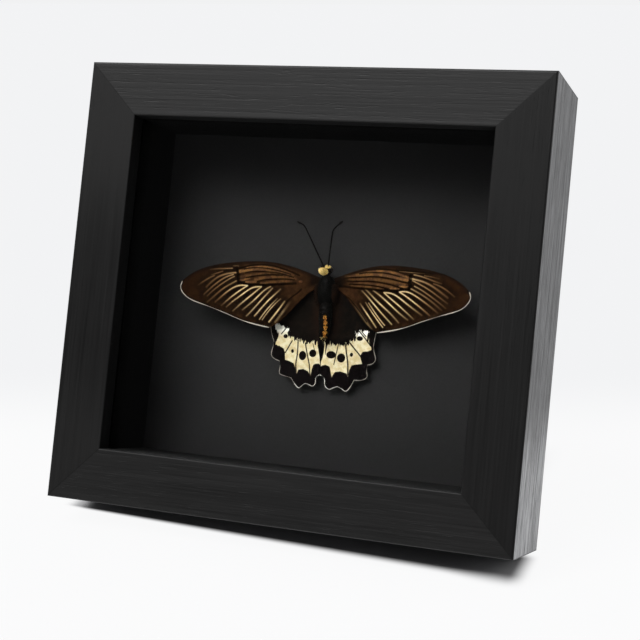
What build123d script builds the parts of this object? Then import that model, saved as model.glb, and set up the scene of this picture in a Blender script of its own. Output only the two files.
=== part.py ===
from build123d import *
import os
from math import cos, radians, sin

# ---------------------------------------------------------------------------
# Butterfly display case, standing: a deep, black-stained box frame with mitred
# corners leans back on its lower rear edge and on a hinged strut. Behind the
# glass, four spacers hold a black card, and one set butterfly stands off it.
# Millimetres, +Z up, floor at Z = 0. The glass faces -Y, and the origin is the
# middle of the standing case's footprint.
# ---------------------------------------------------------------------------

# Frame: outer size, section of a rail, and how far the case leans back
WIDTH = 200.0
HEIGHT = 186.0
DEPTH = 48.0
FACE_WIDTH = 22.5
LIP = 8.0
WALL = 16.0
OUTER_ARRIS = 0.8
SIGHT_ARRIS = 0.6
LEAN = 16.7

# Layers behind the lip, front to back: with the lip they add up to DEPTH
GLASS_THICKNESS = 2.0
SPACER_DEPTH = 31.5
CARD_THICKNESS = 1.5
PANEL_THICKNESS = 5.0
SPACER_THICKNESS = 6.0
PLAY = 0.3

# V nails across the mitres
V_NAIL_LEG = 5.0
V_NAIL_STEEL = 0.6
V_NAIL_DEPTH = 8.0
V_NAIL_INSETS = (4.0, 9.5)

# Turn buttons and their screws
BUTTON_LENGTH = 24.0
BUTTON_WIDTH = 9.0
BUTTON_THICKNESS = 1.2
BUTTON_UP = 46.0
BUTTON_INSET = 8.0
BUTTON_GAP = 0.05
BUTTON_CHAMFER = 0.25
SCREW_RADIUS = 1.5
SCREW_HOLE_RADIUS = 1.7
SCREW_HEAD_RADIUS = 3.0
SCREW_HEAD_HEIGHT = 1.6
SCREW_HEAD_ROUND = 0.7
SCREW_IN_WOOD = 11.0
SLOT_WIDTH = 0.8
SLOT_DEPTH = 0.8

# Saw-tooth hanger, its nails, and the two pads that keep the case off a wall
HANGER_LENGTH = 42.0
HANGER_WIDTH = 9.0
HANGER_STEEL = 0.9
HANGER_RISE = 1.8
HANGER_FOOT = 7.0
HANGER_RAMP = 2.0
HANGER_INSET = 9.0
TEETH = 9
TOOTH_PITCH = 2.4
TOOTH_HEIGHT = 1.4
NAIL_INSET = 3.2
NAIL_RADIUS = 0.7
NAIL_HEAD_RADIUS = 1.6
NAIL_HEAD_HEIGHT = 0.5
NAIL_IN_WOOD = 8.0
PAD_RADIUS = 4.5
PAD_THICKNESS = 2.0
PAD_ROUND = 0.6
PAD_APART = 150.0
PAD_INSET = 8.0

# Strut and its hinge. Open, the bevelled heel of the leg bears on the back panel
STRUT_OPEN = 30.0
PIN_UP = 118.0
PIN_OUT = 2.3
PIN_RADIUS = 1.1
PIN_RUNNING_GAP = 0.05
KNUCKLE_RADIUS = 2.0
KNUCKLE_GAP = 0.2
KNUCKLE_RELIEF = 2.8
MIDDLE_KNUCKLE = 12.0
HINGE_STEEL = 0.9
HINGE_WIDTH = 30.0
HINGE_REACH = 19.0
HINGE_CORNER = 2.0
LEG_THICKNESS = 4.0
LEG_TOP_WIDTH = 36.0
LEG_FOOT_WIDTH = 64.0
LEG_TOP = 18.0
LEG_BOTTOM = 125.0
HEEL_GAP = 0.1
FASTENER_RADIUS = 1.25
FASTENER_HEAD_RADIUS = 2.3
FASTENER_HEAD_HEIGHT = 0.8
FASTENER_HEAD_ROUND = 0.4
FASTENER_APART = 20.0
FASTENER_DOWN = 13.0
FASTENER_IN_PANEL = 4.0

# Butterfly: its place on the face (right and up from the centre), its turn in the
# case, the depth of each piece behind the face, and the rise of the forewings
BODY_RIGHT = 3.2
BODY_UP = 5.0
BODY_TURN = 2.0
FOREWING_DEPTH = 37.1
FOREWING_RISE = 8.0
HINDWING_DEPTH = 37.8
WING_THICKNESS = 0.3
THORAX_DEPTH = 36.0
THORAX_RADIUS = 3.9
THORAX_HALF_LENGTH = 7.0
ABDOMEN_DEPTH = 34.9
ABDOMEN_RIGHT = 0.6
HEAD_DEPTH = 35.2
HEAD_RIGHT = -0.7
HEAD_UP = 8.6
HEAD_HALF_WIDTH = 2.6
HEAD_HALF_LENGTH = 2.0
EYE_RADIUS = 1.2
EYE_OUT = 2.1
EYE_UP = 9.0
ANTENNA_DEPTH = 34.0
ANTENNA_RADIUS = 0.26
ANTENNA_BEND = 4.0
CLUB_RADIUS = 0.45
CLUB_HALF_LENGTH = 1.3
BLOCK_WIDTH = 4.0
BLOCK_LENGTH = 7.0
BLOCK_HEIGHT = 3.0
# Handle of the curve that rounds a quarter of an oval, as a share of its radius
ROUND_HANDLE = 0.5523

# Wing outlines: (out from the body's centre line, up from the middle of the thorax)
FORE_LEADING = [(3, 5.4), (12, 8.5), (20, 10.5), (30, 11.3), (40, 10.6), (52, 8.4), (60, 5), (64.6, 1)]
FORE_OUTER = [(64.6, 1), (65.1, -1.8), (62, -5.7), (54, -8.7), (45, -11.6), (36.5, -14.6), (24.5, -17)]
FORE_INNER = [(24.5, -17), (18, -12.2), (12, -5.3), (3, 1.8)]
HIND_OUTER = {
    "left": [
        [(2, 3), (14, -1.5), (21, -7), (24.8, -13), (25.1, -16.5)],
        [(25.1, -16.5), (24.5, -19.2), (23.3, -22.2)],
        [(23.3, -22.2), (23.5, -25), (23.9, -28.6), (22.5, -30), (20.2, -30.8)],
        [(20.2, -30.8), (19.6, -33.4), (19.6, -36.2), (17.2, -37.2), (14.2, -37.9)],
        [(14.2, -37.9), (12.6, -40), (9.9, -41.9), (8.5, -40.8), (7.2, -39.9)],
        [(7.2, -39.9), (5.3, -40.3), (3.2, -40.8), (1.8, -39.4), (1.8, -37.4), (0.15, -36)],
    ],
    "right": [
        [(2, 3), (14, -1.5), (20.2, -7), (22.7, -12.5), (22.7, -16.5)],
        [(22.7, -16.5), (22.3, -19.4), (21.9, -22.2)],
        [(21.9, -22.2), (22.3, -24.8), (23.1, -28.2), (22.1, -29.7), (19.8, -30.5)],
        [(19.8, -30.5), (19.6, -33), (19.8, -35.6), (17.6, -37), (14.2, -37.2)],
        [(14.2, -37.2), (13.1, -39.6), (10.9, -42.1), (9.2, -41.2), (7.4, -40.4)],
        [(7.4, -40.4), (5.9, -41), (4.2, -41.7), (2.4, -40.1), (2.1, -37.6), (0.15, -36)],
    ],
}
HIND_INNER = [(0.15, -36), (0.15, -30), (0.9, -23), (1.7, -14), (2, 3)]
# The hindwings meet a little left of the centre line, and this fades towards their outer parts
HIND_CROSSING = 1.3
HIND_CROSSING_END = 12.0
# Half outline of the abdomen, and the route of each antenna
ABDOMEN_HALF = [(0, -4.5), (2.2, -6.2), (2.65, -10), (2.35, -15), (1.5, -19.4), (0, -21.4)]
ANTENNA_LEFT = [(-0.9, 9.3), (-11.3, 27.6), (-14.0, 28.6)]
ANTENNA_RIGHT = [(0.6, 9.3), (1.6, 25.8), (5.3, 29.2)]

# ---------------------------------------------------------------------------
# Directions and planes worked out from the sizes above
# ---------------------------------------------------------------------------
RIGHT = Vector(1, 0, 0)
UP = Vector(0, sin(radians(LEAN)), cos(radians(LEAN)))
BACK = Vector(0, cos(radians(LEAN)), -sin(radians(LEAN)))
LEG_LEAN = STRUT_OPEN - LEAN
LEG_DOWN = Vector(0, sin(radians(LEG_LEAN)), -cos(radians(LEG_LEAN)))
LEG_OUT = Vector(0, cos(radians(LEG_LEAN)), sin(radians(LEG_LEAN)))

# Pin and foot, measured from the sharp corner that the rounded lower rear edge cuts off,
# which lies just under the floor. The origin is midway between the front of the frame's
# lower edge and the back of the foot
corner_sink = OUTER_ARRIS * (UP.Z + UP.Y - 1)
pin_from_edge = UP * PIN_UP + BACK * PIN_OUT
leg_back = pin_from_edge + LEG_OUT * (PIN_OUT + LEG_THICKNESS)
foot_back = leg_back + LEG_DOWN * ((leg_back.Z - corner_sink) / cos(radians(LEG_LEAN)))
REAR_EDGE = Vector(0, (DEPTH * BACK.Y - foot_back.Y) / 2, -corner_sink)
PIN = REAR_EDGE + pin_from_edge

# Planes across the case: local X to the right, local Y up the case, local Z to the viewer
FACE = Plane(origin=REAR_EDGE + UP * (HEIGHT / 2) - BACK * DEPTH, x_dir=RIGHT, z_dir=-BACK)
GLASS_FRONT = FACE.offset(-LIP)
SPACER_FRONT = GLASS_FRONT.offset(-GLASS_THICKNESS)
CARD_FRONT = SPACER_FRONT.offset(-SPACER_DEPTH)
PANEL_FRONT = CARD_FRONT.offset(-CARD_THICKNESS)
REAR = FACE.offset(-DEPTH)
BUTTON_SEAT = REAR.offset(-BUTTON_GAP)
SCREW_SEAT = BUTTON_SEAT.offset(-BUTTON_THICKNESS - BUTTON_GAP)
PLATE_BACK = REAR.offset(-HINGE_STEEL)
# The leg's plane lies on its inner side, with local Y = 0 level with the pin, local Z to the case
LEG = Plane(origin=PIN + LEG_OUT * PIN_OUT, x_dir=RIGHT, z_dir=-LEG_OUT)
ACROSS_PIN = Plane(origin=PIN, x_dir=BACK, z_dir=RIGHT)

INSERT_WIDTH = WIDTH - 2 * WALL - 2 * PLAY
INSERT_HEIGHT = HEIGHT - 2 * WALL - 2 * PLAY
CARD_DEPTH = LIP + GLASS_THICKNESS + SPACER_DEPTH
PIN_LOCAL = PIN_UP - HEIGHT / 2
SIDES = {"top": (0, 1), "right": (1, 0), "bottom": (0, -1), "left": (-1, 0)}
CORNERS = {"upper_left": (-1, 1), "upper_right": (1, 1), "lower_left": (-1, -1), "lower_right": (1, -1)}
HANDS = {"left": -1, "right": 1}

SCREW_PLACES = [(x * (WIDTH / 2 - BUTTON_INSET), y * BUTTON_UP) for x, y in CORNERS.values()]
HANGER_UP = HEIGHT / 2 - HANGER_INSET
HANGER_NAIL_PLACES = [(x * (HANGER_LENGTH / 2 - NAIL_INSET), HANGER_UP) for x in (-1, 1)]
PAD_PLACES = [(x * PAD_APART / 2, PAD_INSET - HEIGHT / 2) for x in (-1, 1)]
PLATE_SCREW_PLACES = [(x * FASTENER_APART / 2, PIN_LOCAL - FASTENER_DOWN) for x in (-1, 1)]
RIVET_PLACES = [(x * FASTENER_APART / 2, -FASTENER_DOWN) for x in (-1, 1)]

# The butterfly's plane lies on the frame's face: local X to the right wing tip, local Y to the head
BODY = Plane(origin=FACE.from_local_coords(Vector(BODY_RIGHT, BODY_UP, 0)), z_dir=FACE.z_dir,
             x_dir=FACE.x_dir * cos(radians(BODY_TURN)) + FACE.y_dir * sin(radians(BODY_TURN)))


# ---------------------------------------------------------------------------
# Shared profiles
# ---------------------------------------------------------------------------
def save(builder, name):
    """Label a finished piece and write it to its own file."""
    builder.part.label = name
    export_step(builder.part, f"parts/{name}.step")


def draw_dots(places, radius):
    """Equal circles at the given places."""
    with Locations(*places):
        Circle(radius)


def draw_outline(*runs):
    """A face bounded by smooth runs of points, each starting where the one before it ends."""
    with BuildLine() as outline:
        for run in runs:
            Spline(*run)
    make_face(outline.edges())


def draw_half_oval(half_width, half_length):
    """The right half of an oval about local Y, ready to be turned into an egg shape."""
    wide = half_width * ROUND_HANDLE
    long = half_length * ROUND_HANDLE
    with BuildLine() as outline:
        Bezier((0, -half_length), (wide, -half_length), (half_width, -long), (half_width, 0))
        Bezier((half_width, 0), (half_width, long), (wide, half_length), (0, half_length))
        Line((0, half_length), (0, -half_length))
    make_face(outline.edges())


def draw_v_nails():
    """Bent strips across the four mitres, each with one leg in either rail."""
    middle = V_NAIL_LEG / 2
    for x, y in CORNERS.values():
        for inset in V_NAIL_INSETS:
            bend = (x * (WIDTH / 2 - inset), y * (HEIGHT / 2 - inset))
            with Locations((bend[0] - x * middle, bend[1])):
                Rectangle(V_NAIL_LEG + V_NAIL_STEEL, V_NAIL_STEEL)
            with Locations((bend[0], bend[1] - y * middle)):
                Rectangle(V_NAIL_STEEL, V_NAIL_LEG + V_NAIL_STEEL)


def draw_hinge_leaf(knuckle_middles, knuckle_length):
    """A flat hinge leaf: a plate clear of the knuckles, and a tongue to each of its own."""
    middle = (KNUCKLE_RELIEF + HINGE_REACH) / 2
    with Locations((0, -middle)):
        RectangleRounded(HINGE_WIDTH, HINGE_REACH - KNUCKLE_RELIEF, HINGE_CORNER)
    with Locations(*[(x, -middle / 2) for x in knuckle_middles]):
        Rectangle(knuckle_length, middle)


def wing_plane(hand, depth, rise):
    """A wing's plane: local X runs out along the wing and towards the glass, local Y to the head."""
    out = BODY.x_dir * (hand * cos(radians(rise))) + BODY.z_dir * sin(radians(rise))
    return Plane(origin=BODY.origin - BODY.z_dir * depth, x_dir=out, z_dir=out.cross(BODY.y_dir))


def crossed(hand, points):
    """A hindwing's outline, with its inner part moved over the centre line to the left."""
    return [(x - hand * HIND_CROSSING * max(0, 1 - x / HIND_CROSSING_END), y) for x, y in points]


os.makedirs("parts", exist_ok=True)

# ---------------------------------------------------------------------------
# Frame: four mitred rails of one rebated section, held by v nails
# ---------------------------------------------------------------------------
for side, (out_x, out_y) in SIDES.items():
    outward = FACE.x_dir * out_x + FACE.y_dir * out_y
    along = outward.cross(BACK)
    edge = FACE.origin + outward * (HEIGHT / 2 if out_y else WIDTH / 2)
    half_length = WIDTH / 2 if out_y else HEIGHT / 2
    with BuildPart() as rail:
        with BuildSketch(Plane(origin=edge, x_dir=-outward, z_dir=-along)):
            with BuildLine():
                Polyline((0, 0), (FACE_WIDTH, 0), (FACE_WIDTH, LIP), (WALL, LIP),
                         (WALL, DEPTH), (0, DEPTH), close=True)
            make_face()
            fillet(vertices().group_by(Axis.X)[0], OUTER_ARRIS)
            fillet(vertices().group_by(Axis.X)[-1], SIGHT_ARRIS)
        extrude(amount=half_length, both=True)
        for end in (-1, 1):
            corner = edge + along * (end * half_length)
            split(bisect_by=Plane(origin=corner, z_dir=along * end - outward), keep=Keep.BOTTOM)
        with BuildSketch(REAR):
            draw_v_nails()
        extrude(amount=V_NAIL_DEPTH, mode=Mode.SUBTRACT)
        with BuildSketch(REAR):
            draw_dots(SCREW_PLACES, SCREW_RADIUS)
        extrude(amount=SCREW_IN_WOOD, mode=Mode.SUBTRACT)
        with BuildSketch(REAR):
            draw_dots(HANGER_NAIL_PLACES, NAIL_RADIUS)
        extrude(amount=NAIL_IN_WOOD, mode=Mode.SUBTRACT)
    save(rail, f"{side}_rail" if out_y else f"{side}_stile")

with BuildPart() as corner_v_nails:
    with BuildSketch(REAR):
        draw_v_nails()
    extrude(amount=V_NAIL_DEPTH)
save(corner_v_nails, "corner_v_nails")

# ---------------------------------------------------------------------------
# What the rebate holds, front to back: glass, spacers, card and back panel
# ---------------------------------------------------------------------------
with BuildPart() as glass_pane:
    with BuildSketch(GLASS_FRONT):
        Rectangle(INSERT_WIDTH, INSERT_HEIGHT)
    extrude(amount=-GLASS_THICKNESS)
save(glass_pane, "glass_pane")

for side, (out_x, out_y) in SIDES.items():
    across = INSERT_WIDTH / 2 - SPACER_THICKNESS / 2
    upward = INSERT_HEIGHT / 2 - SPACER_THICKNESS / 2
    with BuildPart() as spacer:
        with BuildSketch(SPACER_FRONT):
            with Locations((out_x * across, out_y * upward)):
                if out_y:
                    Rectangle(INSERT_WIDTH, SPACER_THICKNESS)
                else:
                    Rectangle(SPACER_THICKNESS, INSERT_HEIGHT - 2 * SPACER_THICKNESS)
        extrude(amount=-SPACER_DEPTH)
    save(spacer, f"spacer_{side}")

with BuildPart() as display_card:
    with BuildSketch(CARD_FRONT):
        Rectangle(INSERT_WIDTH, INSERT_HEIGHT)
    extrude(amount=-CARD_THICKNESS)
save(display_card, "display_card")

with BuildPart() as back_panel:
    with BuildSketch(PANEL_FRONT):
        Rectangle(INSERT_WIDTH, INSERT_HEIGHT)
    extrude(amount=-PANEL_THICKNESS)
    with BuildSketch(REAR):
        draw_dots(PLATE_SCREW_PLACES, FASTENER_RADIUS)
    extrude(amount=FASTENER_IN_PANEL, mode=Mode.SUBTRACT)
save(back_panel, "back_panel")

# ---------------------------------------------------------------------------
# Turn buttons on pan-head screws, their noses over the panel
# ---------------------------------------------------------------------------
for name, (x, y) in CORNERS.items():
    screw_across = WIDTH / 2 - BUTTON_INSET
    button_across = screw_across - (BUTTON_LENGTH - BUTTON_WIDTH) / 2
    with BuildPart() as button:
        with BuildSketch(BUTTON_SEAT):
            with Locations((x * button_across, y * BUTTON_UP)):
                SlotOverall(BUTTON_LENGTH, BUTTON_WIDTH)
            with Locations((x * screw_across, y * BUTTON_UP)):
                Circle(SCREW_HOLE_RADIUS, mode=Mode.SUBTRACT)
        extrude(amount=-BUTTON_THICKNESS)
        chamfer(faces().sort_by(Axis(FACE.origin, BACK))[-1].edges(), BUTTON_CHAMFER)
    save(button, f"turn_button_{name}")

with BuildPart() as turn_button_screws:
    with BuildSketch(SCREW_SEAT):
        draw_dots(SCREW_PLACES, SCREW_HEAD_RADIUS)
    extrude(amount=-SCREW_HEAD_HEIGHT)
    fillet(faces().sort_by(Axis(FACE.origin, BACK))[-4:].edges(), SCREW_HEAD_ROUND)
    with BuildSketch(SCREW_SEAT.offset(-SCREW_HEAD_HEIGHT)):
        with Locations(*SCREW_PLACES):
            Rectangle(2 * SCREW_HEAD_RADIUS, SLOT_WIDTH)
    extrude(amount=SLOT_DEPTH, mode=Mode.SUBTRACT)
    with BuildSketch(SCREW_SEAT):
        draw_dots(SCREW_PLACES, SCREW_RADIUS)
    extrude(amount=SCREW_IN_WOOD + BUTTON_THICKNESS + 2 * BUTTON_GAP)
save(turn_button_screws, "turn_button_screws")

# ---------------------------------------------------------------------------
# Saw-tooth hanger on the top rail, and pads on the bottom rail
# ---------------------------------------------------------------------------
with BuildPart() as sawtooth_hanger:
    lower_end = REAR.from_local_coords(Vector(0, HANGER_UP - HANGER_WIDTH / 2, 0))
    half = HANGER_LENGTH / 2
    foot = half - HANGER_FOOT
    bridge = foot - HANGER_RAMP
    with BuildSketch(Plane(origin=lower_end, x_dir=RIGHT, z_dir=UP)):
        with BuildLine():
            Polyline((-half, 0), (-foot, 0), (-bridge, HANGER_RISE), (bridge, HANGER_RISE), (foot, 0),
                     (half, 0), (half, HANGER_STEEL), (foot + HANGER_STEEL / 2, HANGER_STEEL),
                     (bridge + HANGER_STEEL / 2, HANGER_RISE + HANGER_STEEL),
                     (-bridge - HANGER_STEEL / 2, HANGER_RISE + HANGER_STEEL),
                     (-foot - HANGER_STEEL / 2, HANGER_STEEL), (-half, HANGER_STEEL), close=True)
        make_face()
    extrude(amount=HANGER_WIDTH)
    with BuildSketch(REAR):
        with Locations((0, HANGER_UP - HANGER_WIDTH / 2)):
            with GridLocations(TOOTH_PITCH, 1, TEETH, 1):
                Polygon((-TOOTH_PITCH / 2, 0), (TOOTH_PITCH / 2, 0), (0, TOOTH_HEIGHT), align=None)
    extrude(amount=-2 * HANGER_RISE, mode=Mode.SUBTRACT)
    with BuildSketch(REAR):
        draw_dots(HANGER_NAIL_PLACES, NAIL_RADIUS)
    extrude(amount=-HANGER_STEEL, mode=Mode.SUBTRACT)
save(sawtooth_hanger, "sawtooth_hanger")

with BuildPart() as hanger_nails:
    with BuildSketch(REAR.offset(-HANGER_STEEL)):
        draw_dots(HANGER_NAIL_PLACES, NAIL_HEAD_RADIUS)
    extrude(amount=-NAIL_HEAD_HEIGHT)
    with BuildSketch(REAR.offset(-HANGER_STEEL)):
        draw_dots(HANGER_NAIL_PLACES, NAIL_RADIUS)
    extrude(amount=HANGER_STEEL + NAIL_IN_WOOD)
save(hanger_nails, "hanger_nails")

with BuildPart() as wall_pads:
    with BuildSketch(REAR):
        draw_dots(PAD_PLACES, PAD_RADIUS)
    extrude(amount=-PAD_THICKNESS)
    fillet(faces().sort_by(Axis(FACE.origin, BACK))[-2:].edges(), PAD_ROUND)
save(wall_pads, "wall_pads")

# ---------------------------------------------------------------------------
# Strut: leg, hinge plate on the panel, hinge leaf on the leg, pin and fasteners
# ---------------------------------------------------------------------------
outer_knuckle = (HINGE_WIDTH - MIDDLE_KNUCKLE) / 2 - KNUCKLE_GAP
outer_knuckle_middle = HINGE_WIDTH / 2 - outer_knuckle / 2

with BuildPart() as strut_leg:
    with BuildSketch(LEG):
        with BuildLine():
            Polyline((-LEG_TOP_WIDTH / 2, LEG_TOP), (LEG_TOP_WIDTH / 2, LEG_TOP),
                     (LEG_FOOT_WIDTH / 2, -LEG_BOTTOM), (-LEG_FOOT_WIDTH / 2, -LEG_BOTTOM), close=True)
        make_face()
    extrude(amount=-LEG_THICKNESS)
    split(bisect_by=Plane(origin=REAR.origin + BACK * HEEL_GAP, z_dir=BACK), keep=Keep.TOP)
    split(bisect_by=Plane.XY, keep=Keep.TOP)
    with BuildSketch(LEG):
        draw_dots(RIVET_PLACES, FASTENER_RADIUS)
    extrude(amount=-LEG_THICKNESS, mode=Mode.SUBTRACT)
save(strut_leg, "strut_leg")

with BuildPart() as strut_hinge_plate:
    with BuildSketch(REAR):
        with Locations((0, PIN_LOCAL)):
            draw_hinge_leaf([0], MIDDLE_KNUCKLE)
    extrude(amount=-HINGE_STEEL)
    with BuildSketch(ACROSS_PIN):
        Circle(KNUCKLE_RADIUS)
    extrude(amount=MIDDLE_KNUCKLE / 2, both=True)
    with BuildSketch(ACROSS_PIN):
        Circle(PIN_RADIUS + PIN_RUNNING_GAP)
    extrude(amount=MIDDLE_KNUCKLE, both=True, mode=Mode.SUBTRACT)
    with BuildSketch(REAR):
        draw_dots(PLATE_SCREW_PLACES, FASTENER_RADIUS)
    extrude(amount=-HINGE_STEEL, mode=Mode.SUBTRACT)
save(strut_hinge_plate, "strut_hinge_plate")

with BuildPart() as strut_hinge_leaf:
    with BuildSketch(LEG):
        draw_hinge_leaf([-outer_knuckle_middle, outer_knuckle_middle], outer_knuckle)
    extrude(amount=HINGE_STEEL)
    for x in (-outer_knuckle_middle, outer_knuckle_middle):
        with BuildSketch(ACROSS_PIN.offset(x)):
            Circle(KNUCKLE_RADIUS)
        extrude(amount=outer_knuckle / 2, both=True)
    with BuildSketch(ACROSS_PIN):
        Circle(PIN_RADIUS)
    extrude(amount=HINGE_WIDTH, both=True, mode=Mode.SUBTRACT)
    with BuildSketch(LEG):
        draw_dots(RIVET_PLACES, FASTENER_RADIUS)
    extrude(amount=HINGE_STEEL, mode=Mode.SUBTRACT)
save(strut_hinge_leaf, "strut_hinge_leaf")

with BuildPart() as strut_hinge_pin:
    with BuildSketch(ACROSS_PIN):
        Circle(PIN_RADIUS)
    extrude(amount=HINGE_WIDTH / 2, both=True)
save(strut_hinge_pin, "strut_hinge_pin")

with BuildPart() as hinge_plate_screws:
    with BuildSketch(PLATE_BACK):
        draw_dots(PLATE_SCREW_PLACES, FASTENER_HEAD_RADIUS)
    extrude(amount=-FASTENER_HEAD_HEIGHT)
    fillet(faces().sort_by(Axis(FACE.origin, BACK))[-2:].edges(), FASTENER_HEAD_ROUND)
    with BuildSketch(PLATE_BACK):
        draw_dots(PLATE_SCREW_PLACES, FASTENER_RADIUS)
    extrude(amount=HINGE_STEEL + FASTENER_IN_PANEL)
save(hinge_plate_screws, "hinge_plate_screws")

with BuildPart() as strut_rivets:
    with BuildSketch(LEG.offset(HINGE_STEEL)):
        draw_dots(RIVET_PLACES, FASTENER_HEAD_RADIUS)
    extrude(amount=FASTENER_HEAD_HEIGHT)
    with BuildSketch(LEG.offset(-LEG_THICKNESS)):
        draw_dots(RIVET_PLACES, FASTENER_HEAD_RADIUS)
    extrude(amount=-FASTENER_HEAD_HEIGHT)
    with BuildSketch(LEG.offset(HINGE_STEEL)):
        draw_dots(RIVET_PLACES, FASTENER_RADIUS)
    extrude(amount=-HINGE_STEEL - LEG_THICKNESS)
save(strut_rivets, "strut_rivets")

# ---------------------------------------------------------------------------
# Butterfly: body on a foam block, head with eyes and antennae, four wings
# ---------------------------------------------------------------------------
with BuildPart() as thorax:
    with BuildSketch(BODY.offset(-THORAX_DEPTH)):
        draw_half_oval(THORAX_RADIUS, THORAX_HALF_LENGTH)
    revolve(axis=Axis(BODY.offset(-THORAX_DEPTH).origin, BODY.y_dir))
save(thorax, "thorax")

with BuildPart() as setting_block:
    with BuildSketch(BODY.offset(-CARD_DEPTH)):
        Rectangle(BLOCK_WIDTH, BLOCK_LENGTH)
    extrude(amount=BLOCK_HEIGHT)
    add(thorax.part, mode=Mode.SUBTRACT)
save(setting_block, "setting_block")

abdomen_top = BODY.from_local_coords(Vector(ABDOMEN_RIGHT, 0, -ABDOMEN_DEPTH))
with BuildPart() as abdomen:
    with BuildSketch(Plane(origin=abdomen_top, x_dir=BODY.x_dir, z_dir=BODY.z_dir)):
        with BuildLine():
            Spline(*ABDOMEN_HALF)
            Line(ABDOMEN_HALF[-1], ABDOMEN_HALF[0])
        make_face()
    revolve(axis=Axis(abdomen_top, BODY.y_dir))
    add(thorax.part, mode=Mode.SUBTRACT)
save(abdomen, "abdomen")

head_middle = BODY.from_local_coords(Vector(HEAD_RIGHT, HEAD_UP, -HEAD_DEPTH))
with BuildPart() as head:
    with BuildSketch(Plane(origin=head_middle, x_dir=BODY.x_dir, z_dir=BODY.z_dir)):
        draw_half_oval(HEAD_HALF_WIDTH, HEAD_HALF_LENGTH)
    revolve(axis=Axis(head_middle, BODY.y_dir))
    add(thorax.part, mode=Mode.SUBTRACT)
save(head, "head")

with BuildPart() as eyes:
    with Locations(
        BODY.from_local_coords(Vector(HEAD_RIGHT - EYE_OUT, EYE_UP, -HEAD_DEPTH)),
        BODY.from_local_coords(Vector(HEAD_RIGHT + EYE_OUT, EYE_UP, -HEAD_DEPTH)),
    ):
        Sphere(EYE_RADIUS)
    add(head.part, mode=Mode.SUBTRACT)
    add(thorax.part, mode=Mode.SUBTRACT)
save(eyes, "eyes")

for hand, route in {"left": ANTENNA_LEFT, "right": ANTENNA_RIGHT}.items():
    with BuildPart() as antenna:
        with BuildLine(BODY.offset(-ANTENNA_DEPTH)) as shaft:
            FilletPolyline(*route, radius=ANTENNA_BEND)
        outward = shaft.line % 1
        tip = shaft.line @ 1 - outward * CLUB_RADIUS
        with BuildSketch(Plane(origin=shaft.line @ 0, z_dir=shaft.line % 0)):
            Circle(ANTENNA_RADIUS)
        sweep()
        with BuildSketch(Plane(origin=tip, x_dir=BODY.z_dir.cross(outward), z_dir=BODY.z_dir)):
            draw_half_oval(CLUB_RADIUS, CLUB_HALF_LENGTH)
        revolve(axis=Axis(tip, outward))
        add(head.part, mode=Mode.SUBTRACT)
    save(antenna, f"antenna_{hand}")

for hand, direction in HANDS.items():
    with BuildPart() as forewing:
        with BuildSketch(wing_plane(direction, FOREWING_DEPTH, FOREWING_RISE)):
            draw_outline(FORE_LEADING, FORE_OUTER, FORE_INNER, [FORE_INNER[-1], FORE_LEADING[0]])
        extrude(amount=WING_THICKNESS / 2, both=True)
        add(thorax.part, mode=Mode.SUBTRACT)
    save(forewing, f"forewing_{hand}")
    with BuildPart() as hindwing:
        with BuildSketch(wing_plane(direction, HINDWING_DEPTH, 0)):
            draw_outline(*[crossed(direction, run) for run in [*HIND_OUTER[hand], HIND_INNER]])
        extrude(amount=WING_THICKNESS / 2, both=True)
        add(thorax.part, mode=Mode.SUBTRACT)
    save(hindwing, f"hindwing_{hand}")

print("footprint:", round(2 * (foot_back.Y + REAR_EDGE.Y), 2), "mm, rear edge at y", round(REAR_EDGE.Y, 3))
print("pin:", [round(c, 3) for c in PIN], "card front:", [round(c, 3) for c in CARD_FRONT.origin])
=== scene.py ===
import random
from math import cos, pi, radians, sin

import bpy
import numpy as np
from mathutils import Matrix, Vector, geometry


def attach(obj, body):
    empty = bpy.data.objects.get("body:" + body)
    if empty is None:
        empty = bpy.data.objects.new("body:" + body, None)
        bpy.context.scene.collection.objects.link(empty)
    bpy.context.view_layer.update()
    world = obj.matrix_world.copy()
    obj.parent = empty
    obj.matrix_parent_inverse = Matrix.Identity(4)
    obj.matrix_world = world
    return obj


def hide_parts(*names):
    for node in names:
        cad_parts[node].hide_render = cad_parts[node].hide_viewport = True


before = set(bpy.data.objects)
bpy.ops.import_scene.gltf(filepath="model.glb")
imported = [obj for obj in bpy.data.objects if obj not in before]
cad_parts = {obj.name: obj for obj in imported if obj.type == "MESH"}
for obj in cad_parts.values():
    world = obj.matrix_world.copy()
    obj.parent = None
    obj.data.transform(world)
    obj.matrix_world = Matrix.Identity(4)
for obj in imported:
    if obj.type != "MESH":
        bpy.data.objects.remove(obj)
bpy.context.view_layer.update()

scene = bpy.context.scene
random.seed(7)
MM = 0.001

# ------ Directions of the leaning case, and the butterfly's own axes, as in the CAD ------
LEAN = radians(16.7)
LEANING = (LEAN, 0, 0)
UP = Vector((0, sin(LEAN), cos(LEAN)))
BACK = Vector((0, cos(LEAN), -sin(LEAN)))
FACE = Vector((0, -0.030813, 0.102675))
TURN = radians(2)
BODY_X = Vector((1, 0, 0)) * cos(TURN) + UP * sin(TURN)
BODY_Y = UP * cos(TURN) - Vector((1, 0, 0)) * sin(TURN)
BODY = FACE + Vector((0.0032, 0, 0)) + UP * 0.005

# Half the frame's width and height, and the width of a rail's face, in metres
HALF_WIDTH = 0.1000
HALF_HEIGHT = 0.0929
RAIL = 0.0225

# The wings, in millimetres: their depth behind the face, half of a CAD sheet's thickness, the finished
# wing's thickness, and how far apart its points are
FOREWING_DEPTH = 37.1
HINDWING_DEPTH = 37.8
FOREWING_RISE = radians(8)
HALF_SHEET = 0.15
WING_THICKNESS = 0.12
FINE_MESH = 0.24
# Further off than any marking reaches, in its half widths or in millimetres
FAR = 9.0


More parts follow.
